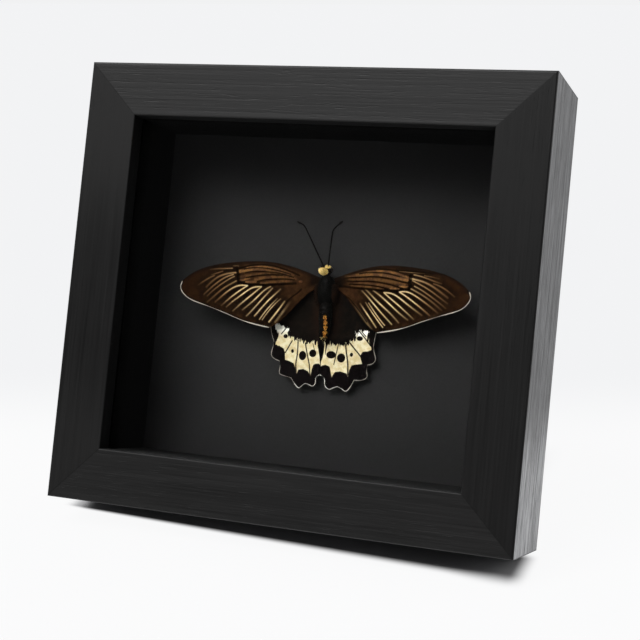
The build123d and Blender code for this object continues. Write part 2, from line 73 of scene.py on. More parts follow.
def place(hand, depth, rise):
    """A wing's frame, with millimetres as its unit: X out along the wing, Y to the head, Z to the glass."""
    out = BODY_X * (hand * cos(rise)) - BACK * sin(rise)
    normal = out.cross(BODY_Y) * hand
    matrix = Matrix((out, BODY_Y, normal)).transposed().to_4x4() @ Matrix.Scale(MM, 4)
    matrix.translation = BODY + BACK * (depth * MM)
    return matrix


BODY_FRAME = place(1, 0, 0)


# ------ Node materials ------
def srgb(red, green, blue):
    """A colour given as 0 to 255, for a node socket."""
    return tuple((c / 255 / 12.92 if c < 10.3 else ((c / 255 + 0.055) / 1.055) ** 2.4)
                 for c in (red, green, blue)) + (1.0,)


def grey(level):
    return level, level, level, 1.0


class Value:
    """What a node puts out. Arithmetic on it and the methods here add the nodes that work it out."""

    def __init__(self, shader, socket):
        self.shader = shader
        self.socket = socket

    def worked(self, operation, first, second=0.0):
        node = self.shader.add("ShaderNodeMath", {"operation": operation})
        return self.shader.fed(node, 0, (0, first), (1, second))

    def __add__(self, other):
        return self.worked("ADD", self, other)

    def __sub__(self, other):
        return self.worked("SUBTRACT", self, other)

    def __rsub__(self, other):
        return self.worked("SUBTRACT", other, self)

    def __mul__(self, other):
        return self.worked("MULTIPLY", self, other)

    def __pow__(self, other):
        return self.worked("POWER", self, other)

    def __abs__(self):
        return self.worked("ABSOLUTE", self)

    def at_least(self, other):
        return self.worked("MAXIMUM", self, other)

    def step(self, low, high, to_low=0.0, to_high=1.0):
        """Smoothly from one number to the other as this goes from low to high."""
        node = self.shader.add("ShaderNodeMapRange", {"interpolation_type": "SMOOTHSTEP"})
        return self.shader.fed(node, 0, *enumerate((self, low, high, to_low, to_high)))

    def mix(self, first, second):
        """Between two colours, where this is the second one's share."""
        node = self.shader.add("ShaderNodeMix", {"data_type": "RGBA"})
        return self.shader.fed(node, 2, (0, self), (6, first), (7, second))

    def ramp(self, *stops):
        node = self.shader.add("ShaderNodeValToRGB")
        while len(node.color_ramp.elements) < len(stops):
            node.color_ramp.elements.new(0.5)
        for element, (position, colour) in zip(node.color_ramp.elements, stops):
            element.position = position
            element.color = colour
        return self.shader.fed(node, 0, (0, self))

    def bump(self, depth, strength=1.0, normal=None):
        """A normal that makes this stand up by a depth in metres, over another normal if one is given."""
        node = self.shader.add("ShaderNodeBump", Height=self, Distance=depth, Strength=strength)
        if normal:
            self.shader.set(node.inputs["Normal"], normal)
        return Value(self.shader, node.outputs[0])


class Shader:
    """A material or world made of nodes."""

    def __init__(self, name, data=None):
        self.block = data or bpy.data.materials.new(name)
        self.block.use_nodes = True
        self.tree = self.block.node_tree
        self.tree.nodes.clear()

    def add(self, kind, settings=None, **sockets):
        node = self.tree.nodes.new(kind)
        for key, value in (settings or {}).items():
            setattr(node, key, value)
        for key, value in sockets.items():
            self.set(node.inputs[key.replace("_", " ")], value)
        return node

    def set(self, socket, value):
        value = value.socket if isinstance(value, Value) else value
        if isinstance(value, bpy.types.NodeSocket):
            self.tree.links.new(value, socket)
        else:
            socket.default_value = value

    def fed(self, node, output, *inputs):
        """One of a node's outputs, once its numbered inputs are set."""
        for index, value in inputs:
            self.set(node.inputs[index], value)
        return Value(self, node.outputs[output])

    def outputs(self, node, *names):
        return [Value(self, node.outputs[name]) for name in names]

    def xyz(self, vector):
        return self.outputs(self.add("ShaderNodeSeparateXYZ", Vector=vector), "X", "Y", "Z")

    def rays(self):
        """Whether a ray comes from the camera, and whether it is a mirrored or a transmitted one."""
        camera_ray, glossy, transmitted = self.outputs(
            self.add("ShaderNodeLightPath"), "Is Camera Ray", "Is Glossy Ray", "Is Transmission Ray")
        return camera_ray, glossy.at_least(transmitted)

    def spot(self, turn=(0, 0, 0), scale=(1, 1, 1), shift=(0, 0, 0)):
        """Object coordinates, turned and then scaled: a big scale makes detail fine along that axis."""
        turned = self.add("ShaderNodeMapping", Vector=self.add("ShaderNodeTexCoord").outputs["Object"],
                          Rotation=turn, Location=shift)
        return self.add("ShaderNodeMapping", Vector=turned.outputs[0], Scale=scale).outputs[0]

    def noise(self, vector, scale=1.0, detail=3.0, roughness=0.5, distortion=0.0):
        node = self.add("ShaderNodeTexNoise", Vector=vector, Scale=scale, Detail=detail, Roughness=roughness,
                        Distortion=distortion)
        return Value(self, node.outputs[0])

    def cells(self, vector, scale):
        return Value(self, self.add("ShaderNodeTexVoronoi", Vector=vector, Scale=scale).outputs["Distance"])

    def field(self, name):
        """The three numbers of a vector attribute."""
        return self.xyz(self.add("ShaderNodeAttribute", {"attribute_name": name}).outputs["Vector"])

    def surface(self, colour, roughness, normal=None, **sockets):
        node = self.add("ShaderNodeBsdfPrincipled", Base_Color=colour, Roughness=roughness, **sockets)
        if normal:
            self.set(node.inputs["Normal"], normal)
        return node.outputs[0]

    def blend(self, share, first, second):
        """Between two surfaces, where share is the second one's."""
        return self.fed(self.add("ShaderNodeMixShader"), 0, (0, share), (1, first), (2, second))

    def done(self, surface):
        self.add("ShaderNodeOutputMaterial", Surface=surface)
        return self.block


def to_mesh(name, vertices, faces, material):
    mesh = bpy.data.meshes.new(name)
    mesh.from_pydata(vertices, [], faces)
    mesh.materials.append(material)
    mesh.polygons.foreach_set("use_smooth", [True] * len(mesh.polygons))
    piece = bpy.data.objects.new(name, mesh)
    scene.collection.objects.link(piece)
    return piece


# ------ Camera, lamps, world and floor ------
scene.view_settings.view_transform = "Standard"
camera_data = bpy.data.cameras.new("camera")
camera_data.lens = 77.85
camera_data.sensor_width = 36
camera = bpy.data.objects.new("camera", camera_data)
scene.collection.objects.link(camera)
camera.location = (0.1989, -0.53608, 0.2198)
camera.rotation_euler = Vector((-0.3358, 0.9136, -0.2290)).to_track_quat("-Z", "Y").to_euler()
scene.camera = camera


def sun(name, toward, energy, width):
    """A distant lamp that looks as wide as the given angle, so that its shadows have soft edges."""
    lamp = bpy.data.lights.new(name, "SUN")
    lamp.energy = energy
    lamp.angle = radians(width)
    piece = bpy.data.objects.new(name, lamp)
    piece.rotation_euler = Vector(toward).to_track_quat("Z", "Y").to_euler()
    scene.collection.objects.link(piece)


# From above and the left of the camera: the top rail and left stile shade the card's top and left
sun("key_lamp", (-0.31, -0.556, 0.772), 3.0, 34)
# From the right and a little behind, for the outer side that the camera sees
sun("side_lamp", (0.9, 0.35, 0.3), 1.1, 40)

# A studio that is bright overhead and behind, and dark on the camera's side, where the glass would mirror it
world = Shader("studio", bpy.data.worlds.new("studio"))
scene.world = world.block
_, behind, above = world.xyz(world.add("ShaderNodeTexCoord").outputs["Generated"])
high = behind + above * 0.9
camera_ray, mirroring = world.rays()
lights = high.step(-0.2, 0.7, 0.03, 0.36)
mirrored = high.step(-0.2, 0.4, 0.015, 0.93)
strength = camera_ray.step(0.0, 1.0, mirroring.step(0.0, 1.0, lights, mirrored), 0.89)
background = world.add("ShaderNodeBackground", Color=(0.99, 0.995, 1.0, 1.0), Strength=strength)
world.add("ShaderNodeOutputWorld", Surface=background.outputs[0])


def pale_floor():
    """Matt white, seen as white all over apart from the shadow under and behind the case."""
    shader = Shader("pale_floor")
    x, y, _ = shader.xyz(shader.spot())
    # The shadow lies under the case's front edge; its own front edge softens from left to right
    edge = -0.0390 - x * 0.06
    blur = x * 0.03 + 0.0062 + x.step(0.068, 0.095, 0.0, 0.0075)
    near = edge + blur * 0.36
    far = edge - blur * 0.64
    shade = y.step(far, near) * y.step(near, -0.027, 0.977, 1.0)
    for limit in (x.step(-0.1085, -0.0995), x.step(0.1035, 0.0945), y.step(-0.016, -0.023)):
        shade = shade * limit
    # Behind the case the lamps' own soft shadow shows through, round the strut's foot
    rear = abs(x).step(0.090, 0.050) * 0.55 * y.step(0.135, 0.085) * y.step(-0.014, 0.0)
    pale = shader.noise(shader.spot(), 60.0, 4.0).mix((0.86, 0.862, 0.866, 1), (0.89, 0.892, 0.896, 1))
    # Under the front edge the paper itself is darkened as painted shadow, besides the real shadow that shows
    # where the glow is cut back
    paper = shader.surface(shade.mix(pale, (0.42, 0.42, 0.43, 1)), 0.7, Specular_IOR_Level=0.1)
    length = shader.add("ShaderNodeVectorMath", {"operation": "LENGTH"}, Vector=shader.spot())
    away = Value(shader, length.outputs["Value"])
    # The white glow that the camera and reflections see dims a little far off and behind, as painted shade
    distant = (y - x * 0.35).step(0.09, 0.25).at_least(away.step(0.9, 2.5))
    white = distant.mix((0.965, 0.966, 0.970, 1), (0.888, 0.893, 0.905, 1))
    table = shader.add("ShaderNodeEmission", Color=white).outputs[0]
    clear = (0.97 - shade.at_least(rear)).at_least(0.0)
    camera_ray, mirroring = shader.rays()
    return shader.done(shader.blend(clear * camera_ray.at_least(mirroring), paper, table))


FLOOR_REACH = 30
floor = to_mesh("floor", [(x * FLOOR_REACH, y * FLOOR_REACH, 0)
                          for x, y in ((-1, -1), (1, -1), (1, 1), (-1, 1))], [(0, 1, 2, 3)], pale_floor())


# ------ Materials of the case ------
def stained_wood(name, along, seed, tone=1.0, gloss=0.24, framed=True, highlight_share=0.0):
    """Black stain over open grain. along is the axis of the fibres: 0 across and 2 up the case. framed
    pieces have sawn outer sides and mitres, and faded is how much a painted highlight pales the colour
    towards the left corners."""
    shader = Shader(name)
    shift = (seed * 0.37, seed * 0.61, seed * 0.23)

    def grain(across, lengthwise, detail, roughness, distortion=0.0):
        scale = [across] * 3
        scale[along] = lengthwise
        return shader.noise(shader.spot(LEANING, scale, shift), 1.0, detail, roughness, distortion)

    fibres = grain(1300, 20, 4.0, 0.6)
    pores = grain(1700, 120, 2.0, 0.5).step(0.60, 0.72)
    growth = grain(420, 5, 3.0, 0.6, 0.3)
    clouds = shader.noise(shader.spot(LEANING, shift=shift), 22.0, 3.0, 0.5)
    mixed = fibres * 0.7 + growth * 0.3
    dark, middle, light = ((tone * c, tone * c * 0.985, tone * c * 0.98, 1) for c in (0.0026, 0.0055, 0.0098))
    colour = mixed.ramp((0.32, dark), (0.5, middle), (0.68, light))
    colour = (pores * 0.45).mix(colour, grey(0.003))
    colour = clouds.step(0.35, 0.7, 0.0, 0.3).mix(colour, light)
    roughness = (mixed + clouds * 0.3).step(0.4, 0.9, 0.40, 0.52)
    relief = 0.25
    if framed:
        x, depth, up = shader.xyz(shader.spot(LEANING))
        behind = depth - FACE.dot(BACK)
        level = up - FACE.dot(UP)
        # How far outside the frame's outline a place is, sideways and up or down: below 0 on its face
        side = abs(x) - HALF_WIDTH
        rise = abs(level) - HALF_HEIGHT
        # Painted highlight: the face pales towards its upper and lower left corners, where the lamp from the
        # upper left catches it
        left_highlight = level.step(0.005, 0.060, 0.0, 0.8).at_least(level.step(-0.025, -0.070, 0.0, 0.65))
        colour = (left_highlight * x.step(-0.030, -0.085, 0.0, highlight_share)).mix(colour, (0.0125, 0.0124, 0.0123, 1))
        # The outer sides are only sawn, so their grain stands out more than the planed face's; their paler,
        # streaked colour is partly that grain and partly a painted reflection of the bright floor and
        # backdrop
        sawn = side.step(-0.0010, -0.0002).at_least(rise.step(-0.0010, -0.0002))
        relief = sawn * 0.8 + 0.22
        sawn = sawn * behind.step(0.0003, 0.0010)
        streaked = mixed * 0.45 + grain(900, 130, 3.0, 0.6) * 0.2 + grain(400, 34, 3.0, 0.6) * 0.35
        sawn_grain_and_reflection = streaked.ramp((0.42, (0.05, 0.0505, 0.052, 1)), (0.60, (0.52, 0.523, 0.537, 1)))
        # Painted reflection: the sides are paler low down, where they mirror the bright floor, and fainter on
        # the top and bottom
        painted_reflection_height = (up + clouds * 0.01).step(0.028, 0.064, 1.0, 0.34)
        flank = side.step(-0.0010, -0.0002, 0.3, 1.0)
        colour = (sawn * painted_reflection_height * flank).mix(colour, sawn_grain_and_reflection)
        # The sight edge is darker and duller, and the mitre joints show as hairlines
        lip = (side.at_least(rise) + RAIL).step(0.0001, 0.0004, 1.0, 0.0)
        colour = (lip * 0.85).mix(colour, grey(0.001))
        roughness = roughness + lip * 0.4
        colour = abs(side - rise).step(0.0001, 0.0004, 0.8, 0.0).mix(colour, grey(0.002))
    normal = (fibres * 0.6 - pores * 0.5).bump(0.00008, 0.6, growth.bump(0.0004, relief))
    return shader.done(shader.surface(colour, roughness, normal, Specular_IOR_Level=gloss))


def metal(name, colour, fine, seed, roughness=0.3):
    """Plated or bare steel with fine rubbed lines, small stains and finger-dulled patches."""
    shader = Shader(name)
    lines = shader.noise(shader.spot(LEANING, fine, (seed, seed, seed)), 1.0, 3.0, 0.6)
    stains = shader.noise(shader.spot(), 420.0, 4.0, 0.6)
    dark = tuple(c * 0.62 for c in colour[:3]) + (1,)
    shade = stains.step(0.52, 0.75, 0.0, 0.6).mix(colour, dark)
    rough = lines * 0.16 + stains.step(0.4, 0.8, roughness - 0.06, roughness + 0.16)
    return shader.done(shader.surface(shade, rough, lines.bump(0.00002, 0.5), Metallic=1.0))


def grained(shader, dark, light, scale, stretch=(1, 1, 1)):
    """A fine grain, and a colour between two close tones that follows it and a broader unevenness."""
    fine = shader.noise(shader.spot(LEANING, stretch), scale, 5.0, 0.65)
    broad = shader.noise(shader.spot(), 18.0, 2.0)
    return fine, (fine * 0.75 + broad * 0.25).ramp((0.35, dark), (0.65, light))


def plain(name, dark, light, scale, roughness, depth, strength=0.6, stretch=(1, 1, 1), **sockets):
    """A dull surface of two close tones in a fine grain, which also stands up a little."""
    shader = Shader(name)
    fine, colour = grained(shader, dark, light, scale, stretch)
    rough = fine.step(0.3, 0.7, roughness - 0.06, roughness + 0.06)
    return shader.done(shader.surface(colour, rough, fine.bump(depth, strength), **sockets))


def card():
    """Matt black card, with painted shade towards its lower edge, lower left corner and right side, and
    painted light above its middle.
    """
    shader = Shader("black_card")
    x, _, up = shader.xyz(shader.spot(LEANING))
    rise = up - FACE.dot(UP)
    fibre, colour = grained(shader, (0.0135, 0.0134, 0.0134, 1), (0.0195, 0.0194, 0.0194, 1), 900.0)
    # Painted shade where the case's walls shade the card, and painted light on its upper part
    corner = x.step(-0.074, -0.028, 0.38, 0.0) * rise.step(-0.05, -0.005, 1.0, 0.0)
    colour = rise.step(-0.074, -0.034, 0.36, 0.0).at_least(corner).mix(colour, grey(0.001))
    colour = rise.step(0.0, 0.04, 0.0, 0.13).mix(colour, grey(0.05))
    colour = x.step(0.02, 0.065, 0.0, 0.17).mix(colour, grey(0.001))
    return shader.done(shader.surface(colour, fibre.step(0.3, 0.7, 0.84, 0.96), fibre.bump(0.00008, 0.6),
                                      Specular_IOR_Level=0.1))


def glass():
    """Clear glass with hardly visible dust on it, which lets the lamps' light through."""
    shader = Shader("clear_glass")
    dust = shader.noise(shader.spot(), 900.0, 2.0).step(0.72, 0.80, 0.0, 0.10)
    tint = dust.mix((0.996, 1.0, 0.998, 1), grey(0.9))
    clear = shader.surface(tint, 0.0, Transmission_Weight=1.0, IOR=1.45)
    passing = shader.add("ShaderNodeBsdfTransparent", Color=(0.955, 0.957, 0.956, 1)).outputs[0]
    shadow = shader.add("ShaderNodeLightPath").outputs["Is Shadow Ray"]
    return shader.done(shader.blend(shadow, clear, passing))


def hardboard():
    """Smooth pressed fibre: short fibres every way in warm browns."""
    shader = Shader("hardboard")
    fibres = shader.noise(shader.spot((LEAN, 0, 0.5), (900, 900, 240)), 1.0, 4.0, 0.7)
    others = shader.noise(shader.spot((LEAN, 0, -0.7), (320, 900, 900), (1, 2, 3)), 1.0, 4.0, 0.7)
    specks = shader.cells(shader.spot(), 700.0).step(0.10, 0.22, 1.0, 0.0)
    broad = shader.noise(shader.spot(), 30.0, 3.0)
    tone = (fibres + others) * 0.5
    colour = tone.ramp((0.36, srgb(84, 58, 38)), (0.5, srgb(122, 88, 60)), (0.66, srgb(150, 114, 82)))
    colour = (specks * 0.35).mix(colour, srgb(70, 46, 30))
    colour = broad.step(0.35, 0.7, 0.0, 0.3).mix(colour, srgb(96, 66, 44))
    return shader.done(shader.surface(colour, tone.step(0.4, 0.6, 0.55, 0.7), tone.bump(0.00012, 0.6),
                                      Specular_IOR_Level=0.35))


def assign(material, *nodes):
    """Give CAD pieces their material."""
    for node in nodes:
        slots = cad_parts[node].data.materials
        slots.clear()
        slots.append(material)


BUTTONS = [f"turn_button_{up}_{side}" for up in ("upper", "lower") for side in ("left", "right")]
SPACERS = [f"spacer_{side}" for side in ("top", "bottom", "left", "right")]

# All four pieces are one moulding: the stiles' darker tones are painted shade, where their upright grain
# catches less of the lamp from above
assign(stained_wood("wood_top", 0, 1, highlight_share=0.3), "top_rail")
assign(stained_wood("wood_bottom", 0, 2, 1.05, 0.19, highlight_share=0.6), "bottom_rail")
assign(stained_wood("wood_left", 2, 3, 0.72, 0.14, highlight_share=1.0), "left_stile")
assign(stained_wood("wood_right", 2, 4, 0.66, 0.16), "right_stile")
assign(stained_wood("wood_strut", 2, 5, framed=False), "strut_leg")
assign(glass(), "glass_pane")
assign(card(), "display_card")
assign(plain("black_spacer", grey(0.002), grey(0.0045), 700.0, 0.85, 0.0001, 0.6, (1, 1, 0.1),
             Specular_IOR_Level=0.08), *SPACERS)
assign(hardboard(), "back_panel")
assign(metal("nickel_plate", (0.60, 0.59, 0.56, 1), (90, 900, 900), 1), *BUTTONS)
assign(metal("hinge_steel", grey(0.50), (1200, 1200, 90), 2, 0.36), "strut_hinge_plate", "strut_hinge_leaf",
       "sawtooth_hanger")
assign(metal("bright_steel", (0.66, 0.65, 0.63, 1), (900, 900, 900), 3, 0.26), "turn_button_screws",
       "hanger_nails", "hinge_plate_screws", "strut_rivets", "strut_hinge_pin", "corner_v_nails")
assign(plain("pad_rubber", grey(0.010), grey(0.022), 1400.0, 0.62, 0.00008), "wall_pads")
assign(plain("setting_foam", grey(0.012), grey(0.05), 1800.0, 0.9, 0.0003, 1.0), "setting_block")

# ------ Butterfly: markings on each wing ------
# Runs of points (out from the body, up) in millimetres, with 1 for the right wing and -1 for the left.
# Pale streaks: half width, strength at the start, middle and end, and points
FORE_STREAKS = {1: [
    (0.27, (0.2, 1, 0.6), [(15.9, -4.9), (17.1, -6.5), (18.9, -8.6), (20.6, -10.6), (22.1, -12.4),
     (23.8, -14.7)]),
    (0.54, (0.1, 0.3, 0.3), [(13.3, -5.6), (16.9, -9.7), (19.9, -13.3), (21.4, -15.4)]),
    (0.23, (0.3, 0.95, 0.85), [(18.5, -4.4), (19.2, -5.5), (20.5, -7.1), (22, -8.9), (23.5, -10.7),
     (24.9, -12.3), (26.4, -14), (27, -14.6)]),
    (0.23, (0.5, 0.9, 0.7), [(19.9, -4.6), (21.2, -6.2), (22.7, -8.2), (24.1, -9.9), (25.6, -11.5),
     (26.8, -12.9), (27.8, -13.7)]),
    (0.27, (0.25, 1, 0.5), [(16.5, 0.4), (17.5, -0.3), (18.8, -1.5), (20.3, -3), (21.8, -4.4), (23.8, -6.5),
     (25.7, -8.4), (27.6, -10.2), (30, -12), (31, -13.2)]),
    (0.29, (0.25, 0.9, 0.3), [(18.1, 1.1), (19.1, 0.5), (20.6, -1), (21.8, -2.1), (23.1, -3.2), (25, -4.8),
     (27.4, -6.6), (29.8, -8.2), (31.4, -9.8), (32.9, -11.2), (34, -12.4)]),
    (0.29, (0.35, 1, 0.25), [(21.8, 0.6), (23.7, -0.3), (25.7, -1.7), (27.6, -3.5), (29.5, -4.7),
     (31.9, -6.7), (34.3, -8.9), (36.7, -10.3), (38.1, -11.1)]),
    (0.27, (0.8, 1, 0.2), [(26.7, -0.1), (27.4, -0.8), (29.1, -2), (30.8, -3.2), (32.7, -4.5), (34.6, -5.8),
     (36.5, -7.4), (38, -8.6), (39.4, -9.6), (40.8, -10.8)]),
    (0.29, (0.8, 1, 0.2), [(26.7, -0.1), (28.3, 0), (30, 0), (31.6, -0.6), (33.1, -1.5), (35, -2.9),
     (36.8, -4.1), (38.7, -5.5), (40.6, -6.7), (42.4, -7.6), (44.2, -9)]),
    (0.27, (0.9, 1, 0.25), [(33.8, 0.3), (34.8, -0.1), (36.6, -1.2), (38.5, -2.4), (40.3, -3.6), (42.2, -5),
     (44, -6.1), (45.9, -7.5), (47.7, -9)]),
    (0.27, (0.95, 0.9, 0.15), [(33.8, 0.3), (35.2, 0.8), (36.9, 0.9), (38.7, 0.3), (40.6, -0.8), (42.4, -2),
     (44.3, -3), (46.1, -4.2), (48, -5.4), (49.8, -6.8), (51.2, -7.8)]),
    (0.27, (0.5, 0.5, 0.15), [(38.8, 1.8), (40.5, 1), (42.8, 0), (45.1, -1.2), (47.4, -2.5), (49.2, -3.9),
     (51.1, -5.3), (52.9, -6.7)]),
    (0.24, (0.55, 0.55, 0.15), [(40.3, 2.9), (41.7, 2.4), (43.6, 1.4), (45.4, 0.3), (47.3, -0.8), (49.1, -2),
     (51, -3.2), (52.8, -4.4), (54.6, -5.8)]),
    (0.24, (0.6, 0.6, 0.15), [(39.3, 5.2), (40.7, 4.4), (42.5, 3.8), (44.4, 3), (46.2, 2), (48.1, 0.9),
     (49.9, -0.3), (51.7, -1.5), (53.5, -2.7), (55.3, -3.9)]),
    (0.33, (0.75, 0.6, 0.2), [(38.5, 6), (40.2, 5.6), (42, 5.4), (43.8, 5.1), (45.6, 4.4), (47.4, 3.5),
     (48.8, 2.8), (50.6, 1.7), (52.4, 0.4), (54.3, -0.9), (55.2, -1.5)]),
    (0.24, (0.6, 0.5, 0.15), [(39.8, 7.6), (41.4, 7.4), (43.2, 7), (45, 6.5), (46.8, 5.9), (48.2, 5.3),
     (49.9, 4.7), (52.2, 4.2)]),
    (0.2, (0.35, 0.3, 0.1), [(44.5, 7.3), (46.7, 7.1), (48.9, 6.8), (51.1, 6.2)]),
    (0.24, (0.3, 0.45, 0.15), [(48.7, 4.1), (50.5, 3.7), (52.2, 3), (53.6, 2.2), (55, 1.2), (56.8, 0.2),
     (58.1, -1)]),
    (0.17, (0.4, 0.35, 0.1), [(33.1, 9), (35.4, 8.8), (37.7, 8.6), (40, 8.4), (42.2, 8.4), (44.5, 8.2)]),
], -1: [
    (0.29, (0.45, 1, 0.9), [(18.3, -5.4), (19.3, -7), (20.5, -9), (21.8, -10.6), (23, -12.3), (24, -13.8),
     (24.6, -14.5)]),
    (0.48, (0.1, 0.35, 0.3), [(16.1, -5.9), (17.3, -7.7), (18.5, -9.5), (19.7, -11.3), (21, -13),
     (21.8, -14.4)]),
    (0.24, (0.25, 0.95, 0.7), [(21.5, -4.3), (22.3, -5.1), (24.1, -7.2), (26.1, -9.5), (27.7, -11.7),
     (28.8, -13.7)]),
    (0.22, (0.3, 0.9, 0.6), [(20.1, -4.4), (21.2, -5.3), (23.1, -7.3), (24.7, -9.4), (26.4, -11.6),
     (27.6, -13.8)]),
    (0.29, (0.3, 1, 0.7), [(20.4, -0.3), (21.4, -1.4), (22.7, -2.6), (24.1, -4), (25.3, -5.1), (27.3, -7.4),
     (28.8, -9.6), (30.3, -11.4), (31.1, -12.3)]),
    (0.29, (0.4, 0.9, 0.4), [(24, -0.1), (24.8, -1.1), (25.8, -2.1), (27.3, -3.6), (28.9, -6), (30.7, -7.9),
     (32.4, -10.1), (33.7, -11.6), (34.7, -12.5)]),
    (0.29, (0.45, 0.95, 0.3), [(24.9, 0.6), (26.4, 0), (27.7, -0.9), (29.1, -2.7), (30.4, -4.3), (32, -5.9),
     (33.5, -7.3), (35.6, -9.1), (36.6, -10)]),
    (0.29, (0.7, 1, 0.25), [(28.9, 0.3), (29.7, -0.4), (32.2, -2.6), (33.7, -4.3), (35, -5.1), (36.8, -6.6),
     (38.2, -8.2), (39.8, -9.7), (40.8, -10.7)]),
    (0.29, (0.8, 1, 0.3), [(28.9, 0.4), (30.6, 0.5), (32.4, 0.2), (33.7, -0.4), (35.3, -1.9), (37, -3.4),
     (38.7, -4.7), (40.6, -6), (42.6, -7.5), (43.8, -9.1)]),
    (0.29, (0.9, 0.95, 0.2), [(35, 0.5), (36, -0.1), (38.5, -1.8), (40.6, -3.5), (42.4, -5), (44, -6.4),
     (44.8, -7.4), (46.1, -8.6)]),
    (0.29, (0.95, 0.9, 0.2), [(35, 0.6), (36.9, 0.8), (38.7, 0.7), (40, 0.2), (41.5, -0.6), (43, -1.5),
     (44.5, -2.9), (45.8, -4.3), (47.7, -5.8), (49, -7.2)]),
    (0.29, (0.5, 0.5, 0.2), [(40.2, 2.3), (41.7, 1.3), (43.6, 0.4), (45, -0.5), (46.6, -1.7), (48.3, -3.3),
     (49.7, -4.9), (51.3, -6.4), (52.5, -7.4)]),
    (0.24, (0.55, 0.55, 0.2), [(41.2, 4.2), (41.9, 4), (43.3, 3.2), (44.8, 2), (46.7, 0.7), (48.3, -0.5),
     (49.9, -1.8), (51.5, -3.4), (52.7, -4.8)]),
    (0.26, (0.7, 0.6, 0.2), [(41.7, 5), (43.4, 4.8), (45, 3.9), (46.9, 2.7), (48.4, 1.4), (50.1, 0.1),
     (51.6, -1.4), (53.2, -3.1), (54.3, -4.2)]),
    (0.33, (0.6, 0.55, 0.2), [(40.4, 5.9), (42.2, 5.8), (43.7, 5.6), (45.7, 4.9), (47.5, 4.3), (48.8, 3.7),
     (50, 2.6), (51.3, 1.4), (52.6, 0.2), (53.4, -0.9)]),
    (0.2, (0.35, 0.4, 0.15), [(46.5, 6.2), (48.2, 5.6), (49.9, 5), (51.6, 4.4)]),
    (0.27, (0.35, 0.4, 0.1), [(50.2, 4.2), (52, 3.5), (53.7, 2.4), (55.4, 1.2), (57.1, -0.2)]),
    (0.24, (0.5, 0.4, 0.15), [(42.3, 7.7), (44.5, 7.5), (47.3, 7.4), (50, 7.2), (52.2, 6.8)]),
    (0.27, (0.25, 0.3, 0.2), [(39.7, 8.8), (40.8, 8.9), (41.9, 8.8)]),
]}
# Paler bands along the discal cell, written in the same way
FORE_BANDS = {1: [
    (0.6, (0.5, 0.8, 1), [(8.2, 6.4), (11, 6.9), (14.8, 7.2), (18.5, 7.5), (22.2, 7.5), (26, 7.4), (28.8, 7),
     (31.6, 6.3), (34.3, 5.8), (37, 5.3)]),
    (0.45, (0.5, 0.9, 0.9), [(15.7, 8), (19.3, 8.8), (23.1, 9), (26.8, 9), (29.6, 8.7), (32.3, 7.9),
     (35.1, 7.2), (37.4, 6.3)]),
    (0.6, (0.3, 0.5, 0.5), [(10.2, 5.1), (15, 5.3), (19.6, 5.6), (23.3, 5.5), (27.1, 5), (30.8, 4.4),
     (33.6, 3.9), (35.8, 3.4)]),
    (0.5, (0.3, 0.5, 0.6), [(12.7, 3.7), (17, 3.7), (20.7, 3.5), (24.4, 3.3), (27.2, 2.8), (30.1, 2.1),
     (32.8, 1.6)]),
    (0.45, (0.3, 0.5, 0.5), [(11.3, 2.4), (16.1, 2.3), (20.8, 2.1), (24.5, 1.7), (26.4, 1.4)]),
    (0.45, (1, 1, 0.8), [(33.7, 2.7), (35.5, 2.4), (37.2, 2.4)]),
    (0.45, (0.9, 1, 0.9), [(29.6, 1.8), (31.5, 1.7), (33.3, 1.5)]),
], -1: [
    (0.45, (0.8, 0.9, 0.4), [(35.7, 8.2), (33.9, 8.8), (31.3, 9.1), (28.6, 9.2), (25.9, 8.9), (23.3, 8.6),
     (20.6, 7.9), (17.9, 7.3), (15.2, 6.1)]),
    (0.65, (1, 0.8, 0.4), [(38.9, 6.5), (36.9, 7), (34.7, 7.7), (32.1, 7.9), (29.4, 7.7), (25.8, 7.5),
     (22.3, 7.2), (18.7, 6.5), (15.6, 5.8)]),
    (0.5, (0.5, 0.5, 0.4), [(38.9, 4.1), (36.3, 4.7), (33.8, 5.2), (31.6, 5.7), (28.6, 6.2), (25.7, 6.3)]),
    (0.6, (0.6, 0.5, 0.3), [(31.7, 3.3), (29.1, 4), (26.5, 4.5), (23.9, 5), (21.3, 5.3), (18.6, 5.2),
     (15.9, 4.7), (14.2, 4.4)]),
    (0.5, (0.6, 0.5, 0.4), [(29, 1.8), (26.4, 2.3), (23.7, 2.7), (21.1, 3.1), (18.5, 3.3), (15.9, 3.4)]),
    (0.45, (0.8, 0.9, 0.5), [(38.6, 2.8), (37.3, 2.7), (35.7, 3.2), (34.4, 3.8)]),
    (0.5, (1, 1, 0.7), [(35.6, 2), (33.8, 2), (31.6, 2.4)]),
    (0.45, (0.7, 0.8, 0.7), [(12.2, 3.5), (11.5, 3.5)]),
]}
